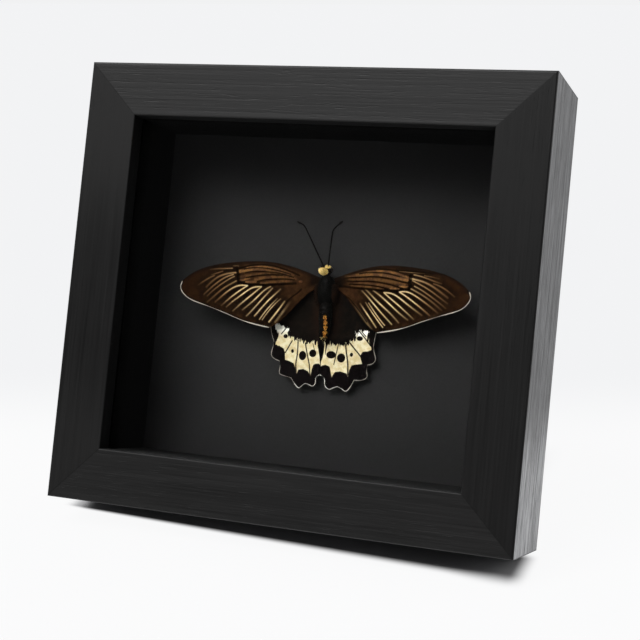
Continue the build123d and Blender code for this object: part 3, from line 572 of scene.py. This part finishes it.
# Dark veins and folds: half width and points
FORE_VEINS = {1: [
    (0.36, [(5.6, 2.3), (11.4, 1.8), (16.2, 1.5), (20.9, 1.2), (24.6, 0.9), (28.3, 0.8), (32, 0.9),
     (34.7, 1.3), (36.9, 1.7), (38.1, 2.5)]),
    (0.5, [(38.2, 7.3), (38.4, 5.5), (37.8, 4.3), (38.5, 2.9), (38, 1.9)]),
    (0.24, [(10.9, 8.1), (14.7, 8.6), (18.3, 9.4), (23, 9.7), (27.7, 9.6), (31.3, 9.3), (34.9, 9.2),
     (38.6, 9), (44, 8.8), (48.4, 8.2)]),
    (0.2, [(14.8, 7.6), (18.4, 8.2), (22.2, 8.3), (25.9, 8.2), (28.7, 7.8), (31.5, 7.1), (33.3, 6.7)]),
    (0.22, [(8.2, 5.8), (14.9, 6.1), (20.4, 6.5), (25.1, 6.3), (28.9, 5.8), (32.6, 5), (35.3, 4.4),
     (37.5, 4.2)]),
    (0.22, [(9.3, 4.4), (15, 4.4), (19.7, 4.5), (23.4, 4.3), (27.2, 3.7), (30.9, 3), (33.7, 2.2),
     (35.5, 1.7)]),
    (0.2, [(10.3, 3.1), (16.1, 3), (20.7, 2.8), (24.5, 2.3), (28.2, 1.4)]),
    (0.22, [(8.3, -1.5), (10.8, -3.1), (13.8, -6), (16.8, -9.3), (19.4, -12.5)]),
], -1: [
    (0.36, [(39.1, 2.1), (36.9, 1.5), (35.1, 1.2), (33.3, 1), (30.7, 1.1), (28, 1.2), (24.5, 1.6),
     (20.1, 1.9), (14, 2.5)]),
    (0.5, [(40.3, 8.1), (39.9, 6.3), (39.5, 4.5), (39.2, 2.8), (39, 1.8)]),
    (0.24, [(39.2, 7.8), (36.2, 8.8), (33.1, 9.5), (28.7, 9.8), (24.2, 9.5), (19.8, 8.5), (16.2, 7.4),
     (12.5, 6)]),
    (0.2, [(37, 7.6), (33.9, 8.3), (30.3, 8.5), (26.8, 8.4), (23.2, 7.9), (19.7, 7.2), (16.5, 6.4)]),
    (0.22, [(36.4, 6), (32.9, 6.8), (29.3, 7), (25.8, 6.9), (22.3, 6.7), (18.7, 6), (15.1, 5.1)]),
    (0.22, [(35.8, 3.9), (32.7, 4.7), (30.1, 5.2), (27, 5.6), (23.5, 5.7), (20, 5.7)]),
    (0.2, [(30.8, 2.6), (28.2, 3.3), (24.7, 3.8), (21.2, 4.1), (17.7, 4.2), (14.6, 4)]),
    (0.22, [(11.3, 0.3), (12.9, -1.5), (14.6, -2.8), (16.6, -4.7), (18.2, -7.3), (20.2, -10.4),
     (22.3, -13.5)]),
]}
# The forewing's front edge and its outer margin, the same on both sides
FORE_COSTA = [(3, 5.4), (12, 8.5), (20, 10.5), (30, 11.3), (40, 10.6), (52, 8.4), (60, 5), (64.6, 1)]
FORE_MARGIN = [(64.6, 1), (65.1, -1.8), (62, -5.7), (54, -8.7), (45, -11.6), (36.5, -14.6), (24.5, -17)]
# Hindwing: the cream field's outline, its round spots (out, up, half width, half height), its veins, and
# the lobes of its rim
HIND_CREAM = {1: [
    (2.3, -22.9), (3.55, -22.6), (6.6, -22.9), (9.1, -22.6), (11.15, -21.5), (12.7, -20.25), (13.6, -19.2),
    (13.8, -17.3), (15.5, -16.55), (17.5, -15.9), (19.55, -16.4), (18.7, -18), (19.2, -20.2), (20.7, -22.7),
    (21.3, -23.9), (19.4, -24.7), (17.1, -25), (16.2, -26.5), (16.6, -28.4), (17.25, -30.1), (14.7, -30.5),
    (12.7, -31), (11.85, -33), (11.45, -35.8), (10.8, -34.5), (8.2, -33.8), (6.1, -34.2), (5.4, -35.5),
    (5, -36.5), (4.4, -33.95), (3.95, -32), (2.25, -31.35), (0.9, -31.75), (0.4, -32.3), (0.3, -30.2),
    (0.9, -28.4), (1.25, -26), (1.25, -22), (1.75, -22), (1.8, -26.2), (2.1, -26.2)
], -1: [
    (2.15, -22.9), (4, -21.9), (6, -21.4), (7.55, -22.2), (9.2, -21.7), (10.8, -21.4), (12.4, -20.9),
    (14, -20.7), (15.6, -20.1), (16.9, -19.5), (16.7, -16.85), (19.4, -15.9), (21.8, -14.8), (23.3, -15.4),
    (21.7, -18.4), (20.7, -19.9), (22.1, -23.1), (22.2, -23.95), (20.2, -24.5), (18.4, -25.4), (17.7, -27.4),
    (17.5, -30.2), (15.6, -30.6), (13.4, -31.5), (12.5, -33.3), (11.5, -35.9), (11, -34.15), (8.6, -33.65),
    (6.2, -34.5), (4.8, -36.5), (4.3, -33.6), (3.7, -31.7), (2.7, -31.2), (0.9, -31), (0.15, -31.6),
    (0.75, -28), (1.7, -24.7)
]}
HIND_SPOTS = {1: [
    (4.2, -27, 1.9, 1.6), (8.25, -28.1, 1.7, 1.95), (12.35, -26.5, 0.7, 0.9), (15.5, -19.5, 1.4, 1)
], -1: [
    (4.3, -26.8, 1.85, 1.65), (9.3, -28, 1.8, 2), (14.3, -26.3, 0.7, 0.85), (15.7, -18.6, 1.5, 1.1),
    (17.9, -20.1, 1, 0.9)
]}
HIND_VEINS = {1: [
    (0.22, [(9.65, -22), (10.3, -25.9), (11.1, -30.3), (11.4, -35.1)]),
    (0.22, [(11.4, -21.6), (13.6, -24.05), (15.4, -25.9), (16.95, -28.05), (17.6, -29.9)]),
    (0.2, [(15, -16.4), (17.3, -18.7), (20.6, -22.4)]),
    (0.16, [(16.15, -16.5), (18.2, -18.5)]),
    (0.14, [(6.8, -22.5), (5.5, -31)]),
    (0.1, [(1.95, -22), (2, -27)]),
], -1: [
    (0.22, [(8.3, -22.6), (7.2, -26.9), (5.8, -31.5), (5.05, -36.2)]),
    (0.22, [(12, -21.5), (11.9, -27.1), (12.3, -31.8), (11.9, -34.8)]),
    (0.2, [(14.8, -21.9), (16.3, -24.7), (17.6, -27.1)]),
    (0.18, [(17.6, -16.3), (19.9, -19.2)]),
    (0.14, [(4.6, -22.5), (3.6, -25.2)]),
]}
HIND_LOBES = {1: [
    [(22.7, -16.5), (22.3, -19.4), (21.9, -22.2)],
    [(21.9, -22.2), (22.3, -24.8), (23.1, -28.2), (22.1, -29.7), (19.8, -30.5)],
    [(19.8, -30.5), (19.6, -33), (19.8, -35.6), (17.6, -37), (14.2, -37.2)],
    [(14.2, -37.2), (13.1, -39.6), (10.9, -42.1), (9.2, -41.2), (7.4, -40.4)],
    [(7.4, -40.4), (5.9, -41), (4.2, -41.7), (2.4, -40.1), (2.1, -37.6), (0.15, -36)],
], -1: [
    [(25.1, -16.5), (24.5, -19.2), (23.3, -22.2)],
    [(23.3, -22.2), (23.5, -25), (23.9, -28.6), (22.5, -30), (20.2, -30.8)],
    [(20.2, -30.8), (19.6, -33.4), (19.6, -36.2), (17.2, -37.2), (14.2, -37.9)],
    [(14.2, -37.9), (12.6, -40), (9.9, -41.9), (8.5, -40.8), (7.2, -39.9)],
    [(7.2, -39.9), (5.3, -40.3), (3.2, -40.8), (1.8, -39.4), (1.8, -37.4), (0.15, -36)],
]}


# ------ Butterfly: what the markings are at each point of a wing ------
def between(knot, low, high, first, second):
    """The point at a knot, on the line through the points at a lower and a higher one."""
    return ((high - knot) * first + (knot - low) * second) / (high - low)


def curve_through(points, step=0.25):
    """A smooth run of points, a given step apart, through the given ones (centripetal Catmull-Rom)."""
    given = [np.array(p, float) for p in points]
    given = [2 * given[0] - given[1]] + given + [2 * given[-1] - given[-2]]
    out = []
    for before, start, end, after in zip(given, given[1:], given[2:], given[3:]):
        count = max(2, int(np.linalg.norm(end - start) / step))
        knots = [0.0]
        for first, second in ((before, start), (start, end), (end, after)):
            knots.append(knots[-1] + max(np.linalg.norm(second - first), 1e-6) ** 0.5)
        for knot in np.linspace(knots[1], knots[2], count, endpoint=False):
            level = [before, start, end, after]
            for width in (1, 2):
                level = [between(knot, knots[i], knots[i + width], level[i], level[i + 1])
                         for i in range(4 - width)]
            out.append(between(knot, knots[1], knots[2], *level))
    out.append(given[-2])
    return np.array(out)


def nearest(points, line):
    """For each point, its distance from a line and how far along it that is, from 0 to 1."""
    best = np.full(len(points), 1e9)
    along = np.zeros(len(points))
    for index in range(len(line) - 1):
        start, run = line[index], line[index + 1] - line[index]
        share = np.clip(((points - start) @ run) / max(run @ run, 1e-12), 0, 1)
        gap = np.hypot(*(points - start - share[:, None] * run).T)
        closer = gap < best
        best[closer] = gap[closer]
        along[closer] = (index + share[closer]) / (len(line) - 1)
    return best, along


def soft(value):
    """Kept between 0 and 1, and smoothed at both ends."""
    value = np.clip(value, 0, 1)
    return value * value * (3 - 2 * value)


def eased(line):
    """The same run with its small turns taken out; the ends stay."""
    run = np.array(line, float)
    for _ in range(3):
        run[1:-1] = 0.25 * run[:-2] + 0.5 * run[1:-1] + 0.25 * run[2:]
    return run


def streaks(points, marks):
    """At each point, the distance from the streak that shows most there, in its half widths, that streak's
    strength, and how much the ground darkens beside it."""
    score = np.zeros(len(points))
    ratio = np.full(len(points), FAR)
    strength, shade = np.zeros(len(points)), np.zeros(len(points))
    for half, shades, line in marks:
        distance, along = nearest(points, curve_through(eased(line)))
        own = np.interp(along, (0, 0.45, 1), shades)
        shows = own * np.maximum(0, 2.4 - distance / half)
        more = shows > score
        score[more] = shows[more]
        ratio[more] = (distance / half)[more]
        strength[more] = own[more]
        shade = np.maximum(shade, own ** 0.35 * soft((2.9 - distance) / 1.6))
    return ratio, strength, shade


def veins(points, marks):
    """The distance from the nearest vein, in its half widths."""
    ratio = np.full(len(points), FAR)
    for half, line in marks:
        ratio = np.minimum(ratio, nearest(points, curve_through(line))[0] / half)
    return ratio


def inside(points, outline):
    """True for the points that lie inside a closed outline."""
    result = np.zeros(len(points), bool)
    for (x1, y1), (x2, y2) in zip(outline, np.roll(outline, -1, axis=0)):
        crosses = (y1 > points[:, 1]) != (y2 > points[:, 1])
        with np.errstate(divide="ignore", invalid="ignore"):
            result ^= crosses & (points[:, 0] < (x2 - x1) * (points[:, 1] - y1) / (y2 - y1) + x1)
    return result


def fore_marks(points, hand):
    """What the scales' shader needs to know at each point of a forewing."""
    ratio, strength, shade = streaks(points, FORE_STREAKS[hand])
    band_ratio, band, _ = streaks(points, FORE_BANDS[hand])
    costa, margin = (nearest(points, curve_through(line))[0] for line in (FORE_COSTA, FORE_MARGIN))
    return {"marks": (ratio, strength, veins(points, FORE_VEINS[hand])),
            "bands": (band * soft((1.7 - band_ratio) / 1.3), costa, margin),
            "spread": (points[:, 0] * hand, points[:, 1], shade)}


def hind_marks(points, hand):
    """What the scales' shader needs to know at each point of a hindwing."""
    # Towards the body the pattern lies up to 1.3 mm to the left of where the lists have it
    shift = hand * 1.3 * np.maximum(0, 1 - points[:, 0] / 12)
    own = np.stack([points[:, 0] + shift, points[:, 1]], axis=1)
    outline = np.array(HIND_CREAM[hand])
    distance, _ = nearest(own, np.vstack([outline, outline[:1]]))
    cream = np.where(inside(own, outline), distance, -distance)
    spots = np.full(len(own), -FAR)
    for x, y, wide, high in HIND_SPOTS[hand]:
        reach = np.hypot((own[:, 0] - x) / wide, (own[:, 1] - y) / high)
        spots = np.maximum(spots, min(wide, high) * (1 - reach))
    margin = np.min([nearest(own, curve_through(run))[0] for run in HIND_LOBES[hand]], axis=0)
    margin *= 0.5 + 0.5 * soft((own[:, 0] - 1.5) / 1.5)
    return {"marks": (cream, veins(own, HIND_VEINS[hand]), spots),
            "bands": (margin, own[:, 1]),
            "spread": (points[:, 0] * hand, points[:, 1])}


def fore_height(points, fields):
    """Arched between root and tip and between the edges, with a slight ripple and ribs at the veins."""
    out, up = points.T
    ribs = soft(1.6 - fields["marks"][2])
    camber = 0.55 * np.sin(np.clip(out / 62, 0, 1) * pi) * np.clip(1 - ((up - 1) / 17) ** 2, 0, 1)
    ripple = 0.10 * np.sin(out * 0.42 + up * 0.33) * np.clip(out / 20, 0, 1)
    return camber + ripple + 0.10 * ribs - 0.05


def hind_height(points, fields):
    """Waves that grow towards the tail, with ribs at the veins."""
    out, up = points.T
    ribs = soft(1.6 - fields["marks"][1])
    wave = 0.22 * np.sin(out * 0.62 + 0.8) * np.clip((-up - 12) / 20, 0, 1)
    return wave + 0.08 * ribs - 0.12


# ------ Butterfly: the wings ------
def cap_outline(node, matrix, level):
    """The closed outline of a flat CAD sheet's front face, in the wing's frame."""
    back = matrix.inverted()
    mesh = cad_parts[node].data
    local = [back @ v.co for v in mesh.vertices]
    count, ends = {}, {}
    for face in mesh.polygons:
        if all(abs(local[i].z - level) < 0.02 for i in face.vertices):
            keys = [(round(local[i].x, 3), round(local[i].y, 3)) for i in face.vertices]
            for first, second in zip(keys, keys[1:] + keys[:1]):
                if first != second:
                    edge = tuple(sorted((first, second)))
                    count[edge] = count.get(edge, 0) + 1
                    ends[edge] = (first, second)
    follow = {first: second for edge, (first, second) in ends.items() if count[edge] == 1}
    start = next(iter(follow))
    loop, here = [start], follow[start]
    while here != start:
        loop.append(here)
        here = follow[here]
    return np.array(loop)


def resample(loop, step):
    """A closed outline's points, evenly spaced."""
    closed = np.vstack([loop, loop[:1]])
    lengths = np.concatenate([[0], np.cumsum(np.hypot(*np.diff(closed, axis=0).T))])
    places = np.linspace(0, lengths[-1], int(lengths[-1] / step), endpoint=False)
    return np.stack([np.interp(places, lengths, closed[:, axis]) for axis in (0, 1)], axis=1)


def sheet(outline, step):
    """An even triangle mesh that fills an outline."""
    edge = resample(outline, step)
    low, high = edge.min(0), edge.max(0)
    rows = np.arange(low[1], high[1], step * 0.866)
    inner = np.array([(x + (index % 2) * step / 2, y) for index, y in enumerate(rows)
                      for x in np.arange(low[0], high[0], step)])
    inner = inner[inside(inner, edge)]
    inner = inner[nearest(inner, np.vstack([edge, edge[:1]]))[0] > 0.55 * step]
    points = [Vector(p) for p in np.vstack([edge, inner])]
    found = geometry.delaunay_2d_cdt(points, [], [list(range(len(edge)))], 1, 1e-6)
    return np.array([tuple(p) for p in found[0]]), [tuple(face) for face in found[2]]


def store(mesh, name, columns):
    """Keep two or three numbers a vertex as a vector attribute, on the upper and the under side alike."""
    values = np.zeros((len(mesh.vertices), 3), np.float32)
    for index, column in enumerate(columns):
        values[:, index] = np.concatenate([column, column])
    mesh.attributes.new(name, "FLOAT_VECTOR", "POINT").data.foreach_set("vector", values.ravel())


def wing(node, hand, depth, rise, height, marks, material):
    """A wing in place of its flat CAD sheet: waved, ribbed along its veins, and thin."""
    matrix = place(hand, depth, rise)
    points, faces = sheet(cap_outline(node, matrix, HALF_SHEET), FINE_MESH)
    fields = marks(points, hand)
    lift = height(points, fields)
    vertices = [matrix @ Vector((x, y, z - below)) for below in (0, WING_THICKNESS)
                for (x, y), z in zip(points, lift)]
    count = len(points)
    upper = faces if hand > 0 else [face[::-1] for face in faces]
    lower = [tuple(i + count for i in face[::-1]) for face in upper]
    edges = {pair for face in upper for pair in zip(face, face[1:] + face[:1])}
    sides = [(second, first, first + count, second + count) for first, second in sorted(edges)
             if (second, first) not in edges]
    piece = to_mesh(node + "_scales", vertices, upper + lower + sides, material)
    for name, columns in fields.items():
        store(piece.data, name, columns)
    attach(piece, "case")
    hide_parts(node)


def wing_shader(name):
    """A shader, the three fields of numbers that the wing keeps, and the place on it in millimetres."""
    shader = Shader(name)
    marks, bands, spread = (shader.field(n) for n in ("marks", "bands", "spread"))
    at = shader.add("ShaderNodeCombineXYZ", X=spread[0], Y=spread[1]).outputs[0]
    return shader, marks, bands, spread, at


def forewing_scales():
    """Brown, with paler bands and streaks, dark veins, a dark front edge and a pale fringe."""
    shader, marks, bands, (x, up, shade), at = wing_shader("forewing_scales")
    ratio, strength, vein = marks
    band, costa, margin = bands
    out = abs(x)
    fine = shader.noise(at, 9.0, 3.0, 0.6)
    rough = fine - 0.5
    patch = shader.noise(at, 0.35, 3.0, 0.6)
    fleck = shader.noise(at, 1.3, 3.0, 0.6)
    ground = patch.step(0.35, 0.65).mix(srgb(36, 21, 11), srgb(50, 31, 16))
    ground = out.step(44, 58, 0.0, 0.6).mix(ground, srgb(27, 14, 6))
    root = out.step(11, 6) * up.step(0.0, 3.0)
    ground = (root * 0.9).mix(ground, srgb(8, 6, 4))
    ground = shade.mix(ground, srgb(15, 8, 4))
    glow = band ** 1.4 * fleck.step(0.3, 0.7, 0.65, 1.0)
    lit = glow.mix(ground, patch.step(0.4, 0.6).mix(srgb(90, 63, 42), srgb(126, 91, 51)))
    blurred = ratio + rough * 0.5
    halo = strength * blurred.step(0.5, 2.5, 0.9, 0.0)
    lit = halo.mix(lit, srgb(88, 62, 36))
    streak = fleck.step(0.38, 0.66).mix(srgb(224, 204, 162), srgb(200, 168, 111))
    streak = out.step(36, 48, 0.0, 0.8).mix(streak, srgb(150, 110, 72))
    pale = strength ** 1.7 * blurred.step(0.1, 1.4, 1.0, 0.0) * fleck.step(0.3, 0.6, 0.7, 1.0)
    lit = pale.mix(lit, streak)
    lit = (vein + rough).step(0.9, 1.8, 0.84, 0.0).mix(lit, srgb(6, 3, 1))
    lit = costa.step(1.8, 0.7, 0.0, 0.8).mix(lit, srgb(22, 14, 9))
    ragged = margin + rough * 0.35
    lit = ragged.step(1.4, 0.6, 0.0, 0.5).mix(lit, srgb(18, 10, 5))
    lit = ragged.step(0.31, 0.17).mix(lit, srgb(184, 176, 164))
    normal = (pale * 0.4 + fine * 0.6).bump(0.00008, 0.7)
    return shader.done(shader.surface(lit, fine.step(0.3, 0.7, 0.60, 0.75), normal, Specular_IOR_Level=0.0))


def hindwing_scales():
    """Black to the rim and brown to the root, with a ragged cream field, dark spots and a pale fringe."""
    shader, marks, bands, spread, at = wing_shader("hindwing_scales")
    cream, vein, spots = marks
    margin, height, _ = bands
    out = abs(spread[0])
    hairy, tufted = (shader.add("ShaderNodeMapping", Vector=at, Scale=scale).outputs[0]
                     for scale in ((4.6, 0.45, 1), (1.5, 0.16, 1)))
    strands = shader.noise(hairy, 1.0, 3.0, 0.7)
    tufts = shader.noise(tufted, 1.0, 2.0, 0.6)
    fine = shader.noise(at, 7.0, 3.0, 0.6)
    rough = fine - 0.5
    broad = shader.noise(at, 0.45, 2.0, 0.5)
    jag = (tufts - 0.53) * height.step(-25.5, -21.5, 0.0, 8.0) * out.step(13, 18, 1.0, 0.45)
    edge = cream + (jag + rough * 0.5)
    black = fine.step(0.35, 0.7).mix(srgb(8, 6, 7), srgb(15, 11, 11))
    brown = broad.step(0.4, 0.7).mix(srgb(12, 10, 8), srgb(21, 16, 12))
    ground = height.step(-24, -18).mix(black, brown)
    fold = out.step(8.5, 3.0) * strands.step(0.35, 0.6)
    ground = (fold * height.step(-25, -10, 0.0, 0.9)).mix(ground, srgb(36, 22, 14))
    light = broad.step(0.35, 0.65).mix(srgb(208, 199, 165), srgb(190, 173, 130))
    # Paler towards the top: partly the white tufts the wing has there, partly painted light where the
    # forewing shades it
    light = height.step(-21, -17, 0.0, 0.8).mix(light, srgb(236, 233, 216))
    light = height.step(-19, -17, 0.0, 0.9).mix(light, srgb(255, 253, 240))
    light = strands.step(0.5, 0.7, 0.0, 0.3).mix(light, srgb(150, 128, 88))
    lit = edge.step(-0.12, 0.16).mix(ground, light)
    lit = (spots + rough * 0.5).step(-0.12, 0.12).mix(lit, srgb(14, 10, 9))
    lit = (vein + rough).step(0.9, 2.0, 0.95, 0.0).mix(lit, srgb(14, 9, 5))
    fringe = out.step(8, 16).mix(srgb(226, 222, 210), srgb(150, 144, 134))
    lit = (margin + rough * 0.3).step(0.27, 0.14).mix(lit, fringe)
    normal = (fine + strands * 0.6).bump(0.00007, 0.7)
    return shader.done(shader.surface(lit, fine.step(0.3, 0.7, 0.64, 0.74), normal, Specular_IOR_Level=0.0))


fore_shader = forewing_scales()
hind_shader = hindwing_scales()
for side, hand in (("left", -1), ("right", 1)):
    wing(f"forewing_{side}", hand, FOREWING_DEPTH, FOREWING_RISE, fore_height, fore_marks, fore_shader)
    wing(f"hindwing_{side}", hand, HINDWING_DEPTH, 0.0, hind_height, hind_marks, hind_shader)


# ------ Body: shell materials on the CAD pieces, and hair over them ------
def shell(name, dark, light, rings=0.0):
    """Finely pitted skin, ringed with grooves where a scale for the rings is given."""
    shader = Shader(name)
    fine = shader.noise(shader.spot(), 1500.0, 4.0, 0.6)
    height = fine
    colour = fine.ramp((0.35, dark), (0.65, light))
    if rings:
        waves = shader.add("ShaderNodeTexWave", {"bands_direction": "Z"}, Vector=shader.spot(LEANING),
                           Scale=rings, Distortion=0.4)
        wave = Value(shader, waves.outputs["Fac"])
        height = wave * 2.0 + fine
        colour = wave.step(0.25, 0.0, 0.0, 0.7).mix(colour, (0.004, 0.003, 0.003, 1))
    return shader.done(shader.surface(colour, fine.step(0.3, 0.7, 0.45, 0.6), height.bump(0.00012, 0.8),
                                      Specular_IOR_Level=0.04))


def hair_shader(name, dark, light):
    """Hairs of uneven colour between two tones."""
    shader = Shader(name)
    tone = shader.noise(shader.spot(), 2600.0, 2.0, 0.6)
    broad = shader.noise(shader.spot(), 420.0, 2.0, 0.5)
    colour = (tone * 0.6 + broad * 0.4).ramp((0.36, dark), (0.64, light))
    return shader.done(shader.surface(colour, tone.step(0.3, 0.7, 0.55, 0.7), Specular_IOR_Level=0.05))


def hairs(name, node, count, length, thickness, flow, spread, keep, material):
    """Tapered, slightly bent hairs rooted on a CAD piece's skin where keep(x, y) holds."""
    back = BODY_FRAME.inverted()
    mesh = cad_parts[node].data
    mesh.calc_loop_triangles()
    local = [back @ v.co for v in mesh.vertices]
    triangles, areas = [], []
    for tri in mesh.loop_triangles:
        corners = [local[i] for i in tri.vertices]
        cross = (corners[1] - corners[0]).cross(corners[2] - corners[0])
        if cross.length > 1e-9 and cross.z > -0.25 * cross.length:
            triangles.append((corners, cross.normalized()))
            areas.append(cross.length)
    vertices, faces = [], []
    made = 0
    # More places are drawn than are needed, because some fall where no hair grows
    for corners, normal in random.choices(triangles, areas, k=count * 3):
        first, second = sorted((random.random(), random.random()))
        root = corners[0] * first + corners[1] * (second - first) + corners[2] * (1 - second)
        if made >= count or not keep(root.x, root.y):
            continue
        made += 1
        stray = Vector([random.uniform(-spread, spread) for _ in range(3)])
        direction = (normal * 0.55 + Vector(flow(root.x, root.y)) + stray).normalized()
        bend = Vector(flow(root.x, root.y)) * 0.35 - Vector((0, 0, 0.18))
        size = length * random.uniform(0.55, 1.15)
        side = direction.orthogonal().normalized()
        other = direction.cross(side)
        base = len(vertices)
        # Two rings of three points and a tip; the first ring lies just under the skin
        for level, wide in ((-0.08, 1.0), (0.5, 0.75)):
            middle = root + direction * (size * level) + bend * (size * max(level, 0) ** 2)
            for turn in range(3):
                angle = turn * 2 * pi / 3
                offset = (side * cos(angle) + other * sin(angle)) * thickness * wide
                vertices.append(BODY_FRAME @ (middle + offset))
        vertices.append(BODY_FRAME @ (root + direction * size + bend * size))
        for turn in range(3):
            after = (turn + 1) % 3
            faces.append((base + turn, base + after, base + 3 + after, base + 3 + turn))
            faces.append((base + 3 + turn, base + 3 + after, base + 6))
        faces.append((base + 2, base + 1, base))
    piece = to_mesh(name, vertices, faces, material)
    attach(piece, "case")


assign(shell("thorax_shell", (0.0012, 0.0012, 0.0010, 1), (0.003, 0.003, 0.0024, 1)), "thorax")
assign(shell("abdomen_shell", (0.0015, 0.0014, 0.0012, 1), (0.004, 0.0036, 0.003, 1), 180.0), "abdomen")
assign(shell("head_shell", srgb(60, 42, 18), srgb(150, 112, 50)), "head")
assign(shell("antenna_shell", (0.0008, 0.0007, 0.0007, 1), (0.003, 0.0026, 0.0024, 1), 900.0), "antenna_left",
       "antenna_right")
eye = Shader("eye_shell")
facets = eye.cells(eye.spot(), 9000.0)
eye_colour = facets.ramp((0.1, (0.030, 0.013, 0.005, 1)), (0.6, (0.006, 0.003, 0.002, 1)))
assign(eye.done(eye.surface(eye_colour, 0.3, facets.bump(0.00002, 0.5))), "eyes")

black_hair = hair_shader("black_hair", (0.0010, 0.0010, 0.0008, 1), (0.004, 0.004, 0.003, 1))
brown_hair = hair_shader("brown_hair", srgb(22, 14, 9), srgb(50, 32, 20))
cream_hair = hair_shader("cream_hair", srgb(244, 206, 104), srgb(255, 240, 176))
orange_hair = hair_shader("orange_hair", srgb(246, 138, 24), srgb(255, 200, 96))


def saddle(x, y):
    """True on the two pale lumps of the head."""
    return (((x + 1.2) / 2.3) ** 2 + ((y - 8.0) / 1.35) ** 2 < 1
            or ((x - 0.7) / 1.1) ** 2 + ((y - 9.9) / 0.75) ** 2 < 1)


def chain(x, y):
    """True on the row of orange tufts along the abdomen."""
    middle = 1.15 + 0.45 * sin(pi * (-10.5 - y) / 9.3)
    return -19.7 < y < -10.4 and abs(x - middle) < 0.52 + 0.24 * sin(y * 3.1) + 0.18 * sin(y * 5.7 + 1)


def dots(x, y):
    """True on the three pale dots along the abdomen."""
    places = ((-0.9, -9.7), (-0.2, -13.1), (-0.7, -17.5))
    return min(abs(x - across) + abs(y - up) for across, up in places) < 0.35


# Each coat's hairs: how many, how long, how thick, which way they flow, how much they stray, and where
hairs("thorax_hair", "thorax", 2600, 0.8, 0.035, lambda x, y: (0.03 * x, -0.75, 0.0), 0.35,
      lambda x, y: True, black_hair)
hairs("shoulder_hair", "thorax", 1500, 1.7, 0.04, lambda x, y: (0.22 * x, -0.65, -0.1), 0.25,
      lambda x, y: abs(x) > 2.9 and y < 3.0, brown_hair)
hairs("head_pale_hair", "head", 2200, 0.6, 0.055, lambda x, y: (0.15 * x, 0.1, 0.25), 0.3,
      saddle, cream_hair)
hairs("head_dark_hair", "head", 2200, 0.4, 0.05, lambda x, y: (0.15 * x, 0.1, 0.25), 0.3,
      lambda x, y: not saddle(x, y), black_hair)
for side in ("left", "right"):
    hairs(f"antenna_{side}_bristles", f"antenna_{side}", 700, 0.13, 0.05, lambda x, y: (0.0, 0.2, 0.0), 0.3,
          lambda x, y: True, black_hair)
hairs("abdomen_side_hair", "abdomen", 1500, 0.8, 0.03, lambda x, y: (0.12 * x, -1.0, -0.1), 0.25,
      lambda x, y: not chain(x, y), black_hair)
hairs("abdomen_stripe_hair", "abdomen", 1100, 0.6, 0.045, lambda x, y: (0.1, -1.0, 0.1), 0.2,
      chain, orange_hair)
hairs("abdomen_dot_hair", "abdomen", 60, 0.4, 0.04, lambda x, y: (-0.2, -0.8, 0.1), 0.2,
      dots, cream_hair)
hairs("abdomen_tip_hair", "abdomen", 220, 0.8, 0.04, lambda x, y: (-0.3, -0.5, 0.15), 0.3,
      lambda x, y: y < -19.6, cream_hair)
